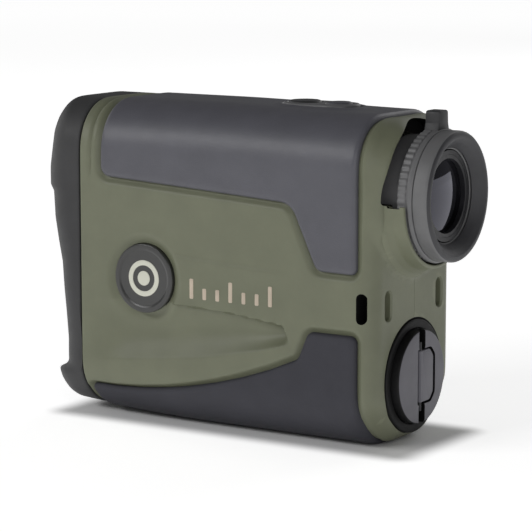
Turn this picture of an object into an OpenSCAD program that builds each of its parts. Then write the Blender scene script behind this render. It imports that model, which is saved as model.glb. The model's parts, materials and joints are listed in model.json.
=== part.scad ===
// Hand-held laser rangefinder: a 6x20 monocular over a laser receiver, in a clamshell housing.
// +X runs from the objective to the eyepiece, +Y to the right-hand side, +Z up.
// The origin is under the middle of the device, on the surface that it stands on.

/* [Body] */
// Overall length, from the front hood to the eyecup
overall_l = 102; // [101:0.5:104]
// Width over the armour
body_w = 38; // [38:0.5:40]
// Height of the body, without the buttons
body_h = 74; // [74:0.5:75]
// Radius of the long top edges
top_r = 11; // [10:0.5:12]
// Radius of the long bottom edges
bottom_r = 13; // [12:0.5:14]
// Thickness of the rubber armour
armour_t = 1.3; // [1.2:0.1:1.4]
// Depth of the bare housing below the armour's face
paint_drop = 0.3; // [0.2:0.1:0.4]
// Thickness of the housing wall under the armour
wall = 2; // [1.8:0.1:2.1]

/* [Optics] */
// Height of the optical axis
eye_z = 56; // [56:0.1:56.4]
// Height of the laser emitter's axis
emitter_z = 38.3; // [38.2:0.1:38.4]
// Height of the laser receiver's axis
receiver_z = 21.5; // [21.3:0.1:21.6]
// Radius of the eyecup
eyecup_r = 14.5; // [14.2:0.1:14.6]
// Radius of the diopter ring
diopter_r = 15; // [14.8:0.1:15.2]
// Axial travel of the eyepiece, each way from zero diopter
diopter_travel = 0.9; // [0.6:0.1:0.9]

/* [Battery] */
// Height of the battery's axis
battery_z = 15; // [14.9:0.1:15.2]
// Radius of the battery
battery_r = 7.8; // [7.5:0.1:7.8]
// Length of the battery
battery_l = 27; // [26:0.5:27]
// Radius of the battery cap
cap_r = 10.6; // [10.4:0.1:10.6]

/* [Buttons] */
// Middle of the button pod along the body
pod_x = 16; // [15.5:0.1:16.5]
// Distance between the two buttons
button_pitch = 9; // [8.8:0.1:9.2]
// Radius of the fire button
fire_r = 3.8; // [3.4:0.1:3.8]
// Radius of the mode button
mode_r = 3; // [2.8:0.1:3.2]
// Travel of each button
button_travel = 0.7; // [0.4:0.1:0.7]

/* [Hidden] */
$fn = 96;
eps = 0.01;
far = 70; // past every outside face

// ---- places along X
front_x = -overall_l / 2;
eyecup_x = overall_l / 2;
rear_x = eyecup_x - 11; // rear plane of the body
bezel_x = -38.5; // where the front bezel meets the housing
panel_x = -43.5; // face of the lens plate
boss_x = rear_x + 2; // face of the eyepiece boss
seat_x = rear_x - 5.7; // inside of the eyepiece seat
skin = armour_t + wall; // depth of the cavity below the armour's face

// ---- edges and slots
side_edge_r = 4; // rear edges seen from the side
plan_edge_r = 5; // rear edges seen from above
bow_r = 500; // the underside rises towards the front on this radius
bow_x = -6; // where that rise starts
bow_step = 6; // length of its facets
slot_z = 32.4; // lanyard slots
slot_h = 6.6;
slot_out_y = body_w / 2 - 6; // lanyard bar, outside edge of the rear slot
slot_in_y = slot_out_y - 2.8;

// ---- eyepiece
barrel_r = 11.8;
cell_r = 10.4; // sliding eye lens cell
lens_r = 9.1; // eyepiece lenses
nose_r = 10.1; // front of the cell, through the diopter ring's spigot
neck_r = 13.2; // diopter ring inside the boss
ring_x = boss_x + 0.3 + diopter_travel; // front of the diopter ring's grip
cup_x = ring_x + 3.9; // joint of the ring and the eyecup
barrel_end_x = cup_x - 3 - diopter_travel;
oring_x = rear_x - 5; // seal in a groove of the eye lens cell
oring_floor_r = cell_r - 0.65;
groove_r = 16.5; // finger groove round the ring
fairing_r = diopter_r + 0.3; // bore of the fairing below the ring
fairing_x = cup_x - 1;

// ---- front hood
hood_z = 53.4; // foot of the hood
hood_bow_r = 41.5; // its front edge is an arc about this height
hood_bow_z = 56;

// ---- front optics
objective_r = 10;
receiver_r = 9;
emitter_r = 3.6;
cell_wall = 1.4;
ring_w = 2; // width of the retaining rings' faces
rim_x = panel_x - 1; // faces of the retaining rings

// ---- battery
battery_x = rear_x - 4; // rear end of the battery
sleeve_r = battery_r + 1.4;
port_r = 12.8; // flange of the battery port
plug_r = 9.3; // threaded plug of the cap
cap_face_x = rear_x + 2.2;
collar_r = 11.5; // collar of the battery sleeve
tab_w = 5.6; // folding tab, from the cap's middle to its free edge
tab_h = 12;
tab_t = 1.3;
tab_pin_r = 0.5;
tab_pin_x = cap_face_x - 0.75;

// ---- buttons
fire_x = pod_x - button_pitch / 2;
mode_x = pod_x + button_pitch / 2;
pod_l = 18.4;
pod_w = 10.6;
button_top_z = body_h + 1.6;
floor_z = body_h - 3; // floor of the button pockets
board_z = body_h - 6.9; // underside of the button board
stem_foot_z = board_z + 2.5 + button_travel; // lower end of the buttons' stems
head_foot_z = floor_z + 1.5 + button_travel; // underside of the buttons' heads
spring_turns = 2.5;
spring_wire = 0.16; // radius of the springs' wire
spring_steps = 14; // rings of points in a turn
spring_sides = 6; // points in a ring

// ---- fasteners
screw_r = 1; // M2 screws
head_r = 1.8;
housing_screws_xz = [[-17, 68.4], [-1.5, 68.4], [29.5, 41.7], [-15.5, 32.5], [-14, 6.6], [3, 6.6]];
front_screws_yz = [[-11.6, 67], [11.6, 67], [-12, 8.6], [12, 8.6]];

// ---- inside
prism_x0 = -15; // ends of the prism holder
prism_x1 = 4.5;
display_x = 14; // front of the display's frame
board_y = body_w / 2 - 5.8; // inner face of the main board
diode_board_x = -19.6; // front of the laser board
cable_t = 0.15; // thickness of the flat cables

// ---- side trim
badge_x = -20.4;
badge_z = 34.4;
badge_r = 8;
marks_x = -7; // first of the range marks
marks_z = 33.2;
marks_pitch = 3.5;
marks_n = 7;

// ---------------------------------------------------------------- helpers

// A cylinder along X.
module rod(r, x0, x1, y = 0, z = 0) {
    translate([x0, y, z]) rotate([0, 90, 0]) cylinder(r = r, h = x1 - x0);
}

// A tube along X.
module tube(ro, ri, x0, x1, y = 0, z = 0) {
    difference() {
        rod(ro, x0, x1, y, z);
        rod(ri, x0 - 1, x1 + 1, y, z);
    }
}

// A box from its low and high corners.
module block(low, high) {
    translate(low) cube(high - low);
}

// The same on both sides of the middle plane.
module both_sides() {
    children();
    mirror([0, 1, 0]) children();
}

// A profile of [radius, x] points turned about an axis along X.
module turned(z) {
    translate([0, 0, z]) rotate([0, 90, 0]) rotate_extrude() children();
}

// A profile in Y and Z, drawn along X.
module along_x(x0, x1) {
    translate([x0, 0, 0]) rotate([90, 0, 90]) linear_extrude(x1 - x0) children();
}

// A profile in X and Z, drawn across the whole width.
module across() {
    rotate([90, 0, 0]) linear_extrude(2 * far, center = true) children();
}

// A rectangle with round ends along its first axis.
module stadium(l, w) {
    square([l - w, w], center = true);
    for (s = [-1, 1]) translate([s * (l - w) / 2, 0]) circle(r = w / 2);
}

// A lens along X, whose two faces bulge by front and back (hollow faces are negative).
module lens(r, x0, x1, front, back, z) {
    function ball(sag) = (r * r + sag * sag) / (2 * abs(sag));
    function bulge(sag, q) = sign(sag) * (sqrt(pow(ball(sag), 2) - q * q) - ball(sag) + abs(sag));
    steps = 8;
    turned(z) polygon(concat(
        [for (k = [0:steps]) [r * k / steps, x0 - bulge(front, r * k / steps)]],
        [for (k = [steps:-1:0]) [r * k / steps, x1 + bulge(back, r * k / steps)]]));
}

// Points of an arc that rounds corner b between a and c.
function unit(v) = v / norm(v);
function corner(a, b, c, r, n = 6) =
    let (u = unit(a - b), v = unit(c - b), half = acos(u * v) / 2, m = b + unit(u + v) * r / sin(half))
    let (p = b + u * r / tan(half) - m, q = b + v * r / tan(half) - m, a0 = atan2(p.y, p.x))
    let (turn = (atan2(q.y, q.x) - a0 + 540) % 360 - 180)
    [for (k = [0:n]) m + r * [cos(a0 + turn * k / n), sin(a0 + turn * k / n)]];

// A polygon's points, with each [x, y, radius] corner rounded.
function rounded(pts) =
    let (n = len(pts))
    [for (i = [0:n - 1])
        let (a = pts[(i + n - 1) % n], b = pts[i], c = pts[(i + 1) % n])
        each b[2] > 0 ? corner([a.x, a.y], [b.x, b.y], [c.x, c.y], b[2]) : [[b.x, b.y]]];

// ---------------------------------------------------------------- body shape

// The body seen from behind, set in by i.
module end_outline(i) {
    w = body_w / 2 - i;
    rt = top_r - i;
    rb = bottom_r - i;
    mid = body_h / 2;
    translate([-w, i + rb]) square([2 * w, body_h - 2 * i - rb - rt]);
    translate([-(w - rt), mid]) square([2 * (w - rt), mid - i]);
    translate([-(w - rb), i]) square([2 * (w - rb), mid - i]);
    for (s = [-1, 1]) {
        translate([s * (w - rt), body_h - i - rt]) circle(r = rt);
        translate([s * (w - rb), i + rb]) circle(r = rb);
    }
}

// How far the underside rises above the standing surface at x.
function rise(x) = x > bow_x ? 0 : bow_r - sqrt(bow_r * bow_r - pow(x - bow_x, 2));

// The body seen from the side, set in by i: its underside rises towards the front.
module side_outline(i) {
    r = side_edge_r - i > 0.5 ? side_edge_r - i : 0.5;
    facets = [for (x = [bow_x:-bow_step:-far]) [x, i + rise(x)]];
    intersection() {
        union() {
            translate([-far, i]) square([far + rear_x - i - r, body_h - 2 * i]);
            translate([0, i + r]) square([rear_x - i, body_h - 2 * (i + r)]);
            for (z = [i + r, body_h - i - r]) translate([rear_x - i - r, z]) circle(r = r);
        }
        polygon(concat([[-far, far + 20], [far, far + 20], [far, -1], [bow_x + 1, -1]], facets));
    }
}

// The body seen from above, set in by i.
module plan_outline(i) {
    r = plan_edge_r - i;
    w = body_w / 2 - i;
    translate([-far, -w]) square([far + rear_x - i - r, 2 * w]);
    translate([0, -(w - r)]) square([rear_x - i, 2 * (w - r)]);
    for (s = [-1, 1]) translate([rear_x - i - r, s * (w - r)]) circle(r = r);
}

// The body's outer shape set in by i, from x0 to its rear.
module envelope(i, x0) {
    intersection() {
        along_x(x0, rear_x - i) end_outline(i);
        across() side_outline(i);
        translate([0, 0, -1]) linear_extrude(body_h + 2) plan_outline(i);
    }
}

// ---------------------------------------------------------------- armour outlines, seen from the side

armour_front_x = -32.5;
armour_rear_x = 35.8;
lower_front_x = -37;

// The saddle over the top, with a tail down the rear of each side.
upper_panel = rounded([
    [armour_front_x, far + 20, 0], [armour_front_x, 57, 2], [19, 54.2, 3.5],
    [25.6, 39.8, 2.5], [armour_rear_x, 39.6, 1.5], [armour_rear_x, far + 20, 0]]);

// The edge of the lower saddle rises to the rear as a power curve.
lower_rise = [for (t = [0:0.125:1]) [lower_front_x + 57.5 * t, 6.7 + 12.7 * pow(t, 1.9)]];
lower_panel = concat(
    [[lower_front_x, -20]],
    lower_rise,
    corner([17, 18], [20.9, 19.8], [23.6, 26.2], 2),
    corner([20.9, 19.8], [23.6, 26.2], [30, 26.2], 1.5),
    corner([30, 26.2], [armour_rear_x, 26.2], [armour_rear_x, 10], 1.5),
    [[armour_rear_x, -20]]);

// ---------------------------------------------------------------- housing

// The outer shape of the painted housing: full size where it is bare, set in under the armour.
module housing_outside() {
    envelope(armour_t, bezel_x + 0.1);
    difference() {
        envelope(paint_drop, bezel_x + 0.1);
        across() polygon(upper_panel);
        across() polygon(lower_panel);
    }
    eyepiece_boss();
    eyepiece_fairing();
}

// The round boss behind the body that shields the diopter ring.
module eyepiece_boss() {
    intersection() {
        rod(18.4, rear_x - 4, boss_x, 0, eye_z);
        along_x(rear_x - 5, boss_x + 1) end_outline(paint_drop);
    }
}

// A half collar on the boss that covers the lower side of the diopter ring.
module eyepiece_fairing() {
    difference() {
        turned(eye_z) polygon([
            [fairing_r, boss_x - 1], [18, boss_x - 1], [18, boss_x], [17, boss_x + 0.5], [16.4, boss_x + 1.6],
            [fairing_r + 0.8, fairing_x - 0.3], [fairing_r + 0.5, fairing_x], [fairing_r, fairing_x]]);
        block([0, -far, eye_z - 1], [far, far, far + 20]);
    }
}

// Solid material inside the shell: the eyepiece seat, screw posts and lanyard corners.
module housing_posts() {
    intersection() {
        union() {
            rod(17.9, seat_x, rear_x - 1, 0, eye_z);
            for (p = housing_screws_xz)
                translate([p.x, 0, p.y]) rotate([90, 0, 0]) cylinder(r = 2.2, h = body_w, center = true);
            for (p = front_screws_yz) rod(2.8, bezel_x + 0.1, bezel_x + 7, p.x, p.y);
            both_sides() block([rear_x - 7, slot_in_y - 2, slot_z - slot_h / 2 - 1.6],
                [rear_x - 1, body_w / 2, slot_z + slot_h / 2 + 1.6]);
            tube(port_r + 0.4, plug_r, rear_x - 5.2, rear_x - 1, 0, battery_z);
            // ledges under the corners of the button board
            for (x = [pod_x - 10, pod_x + 5.2]) both_sides()
                block([x, 5.6, board_z - 1.2], [x + 3.8, body_w / 2, board_z - 0.1]);
        }
        envelope(armour_t + eps, bezel_x + 0.1);
    }
}

// The lanyard's way round each rear corner: a slot in the side and a slot in the rear, joined inside.
module lanyard_cuts() {
    z0 = slot_z - slot_h / 2;
    z1 = slot_z + slot_h / 2;
    both_sides() {
        block([rear_x - 4.4, slot_in_y, z0], [rear_x - 2, far, z1]);
        block([rear_x - 4.4, slot_in_y, z0], [far, slot_out_y, z1]);
    }
}

// Everything bored or cut out of the housing after its posts are in.
module housing_cuts() {
    // way through for the barrel, then for the diopter ring, with the finger groove above
    rod(barrel_r + 0.1, seat_x - 1, far, 0, eye_z);
    rod(neck_r + 0.2, seat_x + 2.6, far, 0, eye_z);
    difference() {
        rod(groove_r, seat_x + 2.6, far, 0, eye_z);
        block([0, -far, -far], [far, far, eye_z - 1]);
    }
    // battery port and its flange
    rod(port_r - 1.1, 0, far, 0, battery_z);
    rod(port_r + 0.1, rear_x - 1.3, far, 0, battery_z);
    lanyard_cuts();
    // button pod
    translate([pod_x, 0, body_h - 6]) linear_extrude(far) stadium(pod_l - 0.8, pod_w - 0.8);
    // front screws
    for (p = front_screws_yz) rod(screw_r + 0.02, bezel_x - 1, bezel_x + 6, p.x, p.y);
    // badges, range marks and the gasket's groove
    both_sides() badge_pocket();
    both_sides() range_mark_bars(0.02, 0.25);
    gasket_strips(0.03);
}

module badge_pocket() {
    translate([badge_x, body_w / 2 - 1.4, badge_z]) rotate([-90, 0, 0]) cylinder(r = badge_r + 0.1, h = 5);
}

// The hollow body in one piece, before it is split down the middle.
module housing_shell() {
    difference() {
        union() {
            difference() {
                housing_outside();
                envelope(skin, -far);
            }
            housing_posts();
        }
        housing_cuts();
    }
}

// Left half: blind, threaded screw holes.
module left_housing() {
    color("#5f6350") difference() {
        intersection() {
            housing_shell();
            block([-far, -far, -far], [far, 0, far + 20]);
        }
        for (p = housing_screws_xz)
            translate([p.x, 0, p.y]) rotate([90, 0, 0]) cylinder(r = screw_r + 0.02, h = 7.2);
    }
}

// Right half: clearance holes with counterbores for the heads.
module right_housing() {
    color("#5f6350") difference() {
        intersection() {
            housing_shell();
            block([-far, 0, -far], [far, far, far + 20]);
        }
        for (p = housing_screws_xz) translate([p.x, 0, p.y]) rotate([-90, 0, 0]) {
            translate([0, 0, -1]) cylinder(r = screw_r + 0.1, h = far);
            translate([0, 0, 13]) cylinder(r = head_r + 0.1, h = far);
        }
    }
}

// Strips of seal in the parting plane, wider by g where they stand for their groove.
module gasket_strips(g) {
    t = 0.5 + g;
    low = body_h - armour_t - 1.5 - g;
    high = body_h - armour_t - 0.5 + g;
    block([bezel_x + 1, -t, low], [pod_x - pod_l / 2 - 0.6, t, high]);
    block([pod_x + pod_l / 2 + 0.6, -t, low], [rear_x - 6.6, t, high]);
    block([bow_x, -t, armour_t + 0.5 - g], [rear_x - 5, t, armour_t + 1.5 + g]);
    block([rear_x - 2, -t, battery_z + port_r + 1], [rear_x - 1, t, eye_z - 18]);
}

module housing_gasket() {
    color("#202020") gasket_strips(0);
}

// Screws from the right half into the left one.
module housing_screws() {
    color("#8c8f92") for (p = housing_screws_xz) translate([p.x, 0, p.y]) rotate([-90, 0, 0]) {
        translate([0, 0, -6.6]) cylinder(r = screw_r, h = 19.6);
        difference() {
            translate([0, 0, 13]) cylinder(r = head_r, h = 1.3);
            translate([0, 0, 13.7]) cylinder(r = 0.75, h = 1, $fn = 6);
        }
    }
}

// ---------------------------------------------------------------- armour

// The space that the armour fills from x0 back: between the body's outer shape and the recessed housing.
module armour_layer(x0) {
    difference() {
        envelope(0, x0);
        envelope(armour_t - eps, -far);
    }
}

module upper_armour() {
    color("#4b4b50") difference() {
        intersection() {
            armour_layer(armour_front_x);
            across() polygon(upper_panel);
        }
        translate([pod_x, 0, body_h - 6]) linear_extrude(far) stadium(pod_l + 0.1, pod_w + 0.1);
        rod(groove_r + 0.6, rear_x - 2, far, 0, eye_z);
    }
}

module lower_armour() {
    color("#3c3c42") intersection() {
        armour_layer(lower_front_x);
        across() polygon(lower_panel);
    }
}

// ---------------------------------------------------------------- front end

// The bezel seen from the side: a hood over the objective, a sloping rim and a lip at the foot.
module bezel_side() {
    function hood_x(z) = front_x + hood_bow_r - sqrt(pow(hood_bow_r, 2) - pow(z - hood_bow_z, 2));
    hood = [for (z = [hood_z + 2:5:body_h - 6]) [hood_x(z), z, 0]];
    intersection() {
        polygon(rounded(concat(
            [[front_x + 0.3, hood_z, 0.2]], hood, [[hood_x(body_h), body_h, 2.5], [0, body_h, 0], [0, 1, 0],
            [front_x + 4, 1.7, 3], [front_x + 1.8, 7.4, 2.5], [front_x + 2, 10, 1],
            [front_x + 4.8, 12.6, 0], [front_x + 4.4, 24, 0], [front_x + 3.6, 33, 0],
            [front_x + 2.4, 41, 0], [front_x + 1.4, 46.5, 0], [front_x + 1.1, hood_z - 0.8, 0]])));
        side_outline(paint_drop);
    }
}

// The bezel seen from above, with rounded front corners.
module bezel_plan() {
    r = 8;
    w = body_w / 2 - paint_drop;
    translate([front_x + r, -w]) square([far, 2 * w]);
    translate([front_x, -(w - r)]) square([far, 2 * (w - r)]);
    for (s = [-1, 1]) translate([front_x + r, s * (w - r)]) circle(r = r);
}

// Ways through for the three front cells, each wider than its cell by g.
module front_ways(g) {
    rod(objective_r + ring_w + g, -far, 0, 0, eye_z);
    rod(emitter_r + cell_wall + g, -far, 0, 0, emitter_z);
    rod(receiver_r + cell_wall + g, -far, 0, 0, receiver_z);
}

module front_bezel() {
    color("#2b2b2d") difference() {
        intersection() {
            along_x(front_x, bezel_x) end_outline(paint_drop);
            across() bezel_side();
            translate([0, 0, -1]) linear_extrude(body_h + 2) bezel_plan();
        }
        // the open front, down to the lens plate's seat
        along_x(-far, panel_x + 2.2) end_outline(3.4);
        front_ways(0.1);
        for (p = front_screws_yz) rod(screw_r + 0.1, -far, 0, p.x, p.y);
    }
}

module lens_plate() {
    color("#1d1d1f") difference() {
        intersection() {
            along_x(panel_x, panel_x + 2.15) end_outline(3.45);
            across() side_outline(3.45);
        }
        front_ways(0.1);
        for (p = front_screws_yz) {
            rod(screw_r + 0.1, -far, 0, p.x, p.y);
            rod(head_r + 0.1, -far, panel_x + 1.2, p.x, p.y);
        }
    }
}

module bezel_screws() {
    color("#303032") for (p = front_screws_yz) {
        rod(screw_r, panel_x + 1.2, bezel_x + 5.6, p.x, p.y);
        difference() {
            rod(head_r, panel_x + 0.1, panel_x + 1.2, p.x, p.y);
            translate([panel_x, p.x, p.y]) rotate([0, 90, 0]) cylinder(r = 0.75, h = 0.7, $fn = 6);
        }
    }
}

// Tube behind the objective, with a flange against the housing posts.
module objective_cell() {
    r = objective_r;
    ro = r + cell_wall;
    color("#26272a") turned(eye_z) polygon([
        [r + 0.1, rim_x + 1.1], [ro, rim_x + 1.1], [ro, bezel_x + 0.1], [ro + 1.2, bezel_x + 0.1],
        [ro + 1.2, bezel_x + 1.6], [ro, bezel_x + 1.6], [ro, -20], [r - 2, -20], [r - 2, -24], [r - 1, -24],
        [r - 1, -37.2], [r + 0.1, -37.2]]);
}

module objective_crown_lens() {
    color("#9fb8c8", 0.4) lens(objective_r, rim_x + 2.6, rim_x + 4.2, 1.3, 1.1, eye_z);
}

module objective_flint_lens() {
    color("#a7bccb", 0.4) lens(objective_r, rim_x + 4.25, rim_x + 7, -1.1, 0.3, eye_z);
}

// Screwed ring that holds a front lens in its cell.
module retainer(r, w, z) {
    color("#232325") turned(z) polygon([
        [r - 0.6, rim_x + 2.4], [r + 0.05, rim_x + 2.4], [r + 0.05, rim_x + 1.05], [r + w, rim_x + 1.05],
        [r + w, rim_x + 0.4], [r + w - 0.4, rim_x], [r + 0.6, rim_x], [r - 0.6, rim_x + 1.2]]);
}

module objective_retainer() {
    retainer(objective_r, ring_w, eye_z);
}

module receiver_retainer() {
    retainer(receiver_r, cell_wall, receiver_z);
}

// Receiver tube that narrows to the light detector.
module receiver_cell() {
    ro = receiver_r + cell_wall;
    color("#26272a") turned(receiver_z) polygon([
        [receiver_r + 0.1, rim_x + 1.1], [ro, rim_x + 1.1], [ro, -31], [5.6, -24], [4.4, -24],
        [receiver_r - 1.2, -31.5], [receiver_r - 1.2, -38], [receiver_r + 0.1, -38]]);
}

module receiver_lens() {
    color("#8f6a86", 0.5) lens(receiver_r, rim_x + 2.6, rim_x + 4.6, 1.3, 0.4, receiver_z);
}

module emitter_cell() {
    ro = emitter_r + cell_wall;
    color("#26272a") turned(emitter_z) polygon([
        [emitter_r + 0.1, rim_x], [ro - 0.3, rim_x], [ro, rim_x + 0.3], [ro, -26], [3, -26],
        [3, -38], [emitter_r + 0.1, -38]]);
}

module emitter_lens() {
    color("#8f6a86", 0.5) lens(emitter_r, rim_x + 2, rim_x + 3.6, 0.5, 0.4, emitter_z);
}

// ---------------------------------------------------------------- prisms and display

module prism_holder() {
    color("#2c2d30") difference() {
        block([prism_x0, -10.4, eye_z - 10], [prism_x1, 10.4, eye_z + 10]);
        block([prism_x0 + 1.2, -7.6, eye_z - 8.8], [prism_x1 - 1.2, 7.6, eye_z + 11]);
        rod(6.8, prism_x0 - 1, prism_x1 + 1, 0, eye_z);
    }
}

// Roof prism of the erecting pair.
module roof_prism() {
    color("#c9dbe4", 0.4) translate([0, 7.4, eye_z]) rotate([90, 0, 0]) linear_extrude(14.8)
        polygon([[prism_x0 + 9.2, -8], [prism_x1 - 1.6, -8], [prism_x1 - 1.6, 7], [prism_x1 - 4, 9.4],
            [prism_x0 + 8.6, 9.4], [prism_x0 + 13.4, 0]]);
}

// Half-penta prism of the erecting pair.
module half_prism() {
    color("#c9dbe4", 0.4) translate([0, 7.4, eye_z]) rotate([90, 0, 0]) linear_extrude(14.8)
        polygon([[prism_x0 + 1.6, -8], [prism_x0 + 8.6, -8], [prism_x0 + 12.8, 0], [prism_x0 + 8, 9.4],
            [prism_x0 + 4.8, 9.4], [prism_x0 + 1.6, 5]]);
}

module display_frame() {
    color("#2c2d30") difference() {
        block([display_x, -9.4, eye_z - 9.4], [display_x + 3, 9.4, eye_z + 9.4]);
        block([display_x + 1, -8.1, eye_z - 8.1], [display_x + 4, 8.1, eye_z + 8.1]);
        rod(6.8, display_x - 1, display_x + 2, 0, eye_z);
    }
}

module display_panel() {
    color("#b9c7cf", 0.5) block([display_x + 1.1, -8, eye_z - 8], [display_x + 2.3, 8, eye_z + 8]);
}

// ---------------------------------------------------------------- electronics

module main_board() {
    color("#1f5a3a") difference() {
        block([-31, board_y, 12], [26, board_y + 1, 63]);
        for (p = housing_screws_xz)
            translate([p.x, board_y - 1, p.y]) rotate([-90, 0, 0]) cylinder(r = 2.5, h = 3);
    }
}

module board_chips() {
    color("#1a1a1c") {
        block([-8, board_y - 1.3, 18], [2, board_y - 0.01, 28]);
        block([-9, board_y - 1, 40], [-1, board_y - 0.01, 45.5]);
        block([4, board_y - 1, 33], [9, board_y - 0.01, 38]);
        translate([-12, board_y - 5, 40]) rotate([-90, 0, 0]) cylinder(r = 2, h = 4.99);
    }
}

// Upright board behind the emitter and receiver.
module laser_board() {
    color("#1f5a3a") block([diode_board_x, -10, 12], [diode_board_x + 1, 10, 44]);
}

module laser_diode() {
    color("#b08a3c") {
        rod(2.8, diode_board_x - 1.2, diode_board_x, 0, emitter_z);
        rod(2.35, diode_board_x - 4.4, diode_board_x - 1.2, 0, emitter_z);
    }
}

module light_detector() {
    color("#b0b3b6") {
        rod(4.1, diode_board_x - 1.2, diode_board_x, 0, receiver_z);
        rod(3.6, diode_board_x - 4, diode_board_x - 1.2, 0, receiver_z);
    }
}

module button_board() {
    color("#1f5a3a") block([pod_x - 10, -8, board_z], [pod_x + 9, 8, board_z + 0.8]);
}

module tact_switches() {
    color("#c8c9cb") for (x = [fire_x, mode_x]) {
        block([x - 2.2, -2.2, board_z + 0.81], [x + 2.2, 2.2, board_z + 1.9]);
        translate([x, 0, board_z + 1.9]) cylinder(r = 0.9, h = 0.5);
    }
}

// Flat cables from the main board to the display and to the button board.
module flex_cables() {
    t = cable_t;
    z = board_z + 0.2;
    color("#b5712c") {
        block([display_x + 3, 9.6, eye_z - 4], [display_x + 6, 9.6 + t, eye_z + 4]);
        block([display_x + 6, 9.6, eye_z - 4], [display_x + 6 + t, board_y, eye_z + 4]);
        block([pod_x - 4, 8, z], [pod_x + 4, board_y - 0.8, z + t]);
        block([pod_x - 4, board_y - 0.8, 60], [pod_x + 4, board_y - 0.8 + t, z + t]);
        block([pod_x - 4, board_y - 0.8, 60 - t], [pod_x + 4, board_y, 60]);
    }
}

// ---------------------------------------------------------------- battery

module battery_sleeve() {
    color("#2c2d30") difference() {
        union() {
            rod(sleeve_r, battery_x - battery_l - 2.4, battery_x + 0.7, 0, battery_z);
            rod(collar_r, battery_x - 0.9, battery_x + 0.75, 0, battery_z);
        }
        rod(battery_r + 0.2, battery_x - battery_l - 1.2, far, 0, battery_z);
    }
}

module battery() {
    color("#3d6f9e") {
        rod(battery_r, battery_x - battery_l + 1.2, battery_x, 0, battery_z);
        rod(3, battery_x - battery_l, battery_x - battery_l + 1.2, 0, battery_z);
    }
}

module positive_contact() {
    color("#c9a94f") rod(4.5, battery_x - battery_l - 0.9, battery_x - battery_l - 0.3, 0, battery_z);
}

// Threaded ring in the rear wall that takes the cap.
module battery_port() {
    color("#1f1f21") difference() {
        union() {
            rod(port_r - 1.2, rear_x - 3.2, rear_x - 0.5, 0, battery_z);
            rod(port_r, rear_x - 1.25, rear_x + 0.3, 0, battery_z);
        }
        rod(plug_r + 0.15, 0, far, 0, battery_z);
        rod(cap_r + 0.2, rear_x - 0.6, far, 0, battery_z);
    }
}

// ---------------------------------------------------------------- battery cap

// Outline of the folding tab, seen from behind: y across, z up.
module tab_outline(g) {
    intersection() {
        translate([-1.5 - g, -tab_h / 2 - g]) square([tab_w + 1.5 + 2 * g, tab_h + 2 * g]);
        circle(r = 7.2 + g);
    }
}

module battery_cap() {
    color("#5a5a5e") difference() {
        union() {
            rod(cap_r, rear_x - 0.5, cap_face_x - 0.5, 0, battery_z);
            translate([cap_face_x - 0.5, 0, battery_z]) rotate([0, 90, 0])
                cylinder(r1 = cap_r, r2 = cap_r - 0.5, h = 0.5);
            rod(plug_r, rear_x - 3.2, rear_x - 0.5, 0, battery_z);
        }
        // seat of the cap's seal
        tube(plug_r + 1, plug_r - 0.8, rear_x - 1.6, rear_x - 0.7, 0, battery_z);
        // recess for the folded tab
        translate([cap_face_x - tab_t - 0.15, 0, battery_z]) rotate([90, 0, 90]) linear_extrude(5)
            tab_outline(0.35);
        // notches at the ends of the tab's pin
        for (s = [-1, 1]) translate([cap_face_x - 1.4, 0, battery_z + s * 8.4])
            rotate([90, 0, 90]) linear_extrude(5) stadium_up(5.4, 2.6);
        // the pin's bore
        translate([tab_pin_x, 0, battery_z - 8]) cylinder(r = tab_pin_r + 0.01, h = 16);
        // hollow for the contact
        rod(7.4, rear_x - 4, rear_x - 2.6, 0, battery_z);
    }
}

// A stadium that stands on end.
module stadium_up(l, w) {
    rotate(90) stadium(l, w);
}

module cap_oring() {
    color("#101010") turned(battery_z) translate([plug_r - 0.35, rear_x - 1.15]) circle(r = 0.4, $fn = 32);
}

// Spring plate that rides in the cap and presses on the battery.
module cap_contact() {
    color("#c9a94f") turned(battery_z) polygon([
        [0, rear_x - 3.9], [3, rear_x - 3.9], [6.6, rear_x - 3], [6.6, rear_x - 2.65],
        [6.2, rear_x - 2.65], [2.8, rear_x - 3.5], [0, rear_x - 3.5]]);
}

module tab_pin() {
    color("#9a9da0") translate([tab_pin_x, 0, battery_z - 7.8]) cylinder(r = tab_pin_r, h = 15.6);
}

// The folding tab, with a barrel round its pin.
module cap_tab() {
    color("#6a6a70") difference() {
        union() {
            translate([cap_face_x - tab_t, 0, battery_z]) rotate([90, 0, 90]) linear_extrude(tab_t - 0.15)
                difference() {
                    tab_outline(0);
                    translate([-5, -10]) square([5, 20]);
                }
            translate([tab_pin_x, 0, battery_z - 5.8]) cylinder(r = 0.65, h = 11.6);
        }
        translate([tab_pin_x, 0, battery_z - 10]) cylinder(r = tab_pin_r + 0.05, h = 20);
    }
}

// ---------------------------------------------------------------- eyepiece

module eyepiece_barrel() {
    color("#26272a") turned(eye_z) polygon([
        [cell_r + 0.1, 20.5], [barrel_r - 0.8, 20.5], [barrel_r - 0.8, seat_x - 2], [13.4, seat_x - 2],
        [13.4, seat_x - 0.1], [barrel_r, seat_x - 0.1], [barrel_r, barrel_end_x],
        [cell_r + 0.1, barrel_end_x]]);
}

module field_lens() {
    color("#a7bccb", 0.4) lens(cell_r - 0.4, 22.5, 24, 0.6, 1.2, eye_z);
}

// Tube that carries the eye lenses and slides in the barrel.
module eye_lens_cell() {
    color("#232325") turned(eye_z) difference() {
        polygon([
            [lens_r - 1.2, 29], [cell_r, 29], [cell_r, cup_x - 2], [11.7, cup_x - 2], [11.7, cup_x - 1.2],
            [nose_r, cup_x - 1.2], [nose_r, cup_x + 1], [lens_r + 0.05, cup_x + 1],
            [lens_r + 0.05, rear_x - 7.5], [lens_r - 1.2, rear_x - 7.5]]);
        translate([oring_floor_r, oring_x - 0.45]) square([2, 0.9]);
    }
}

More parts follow.
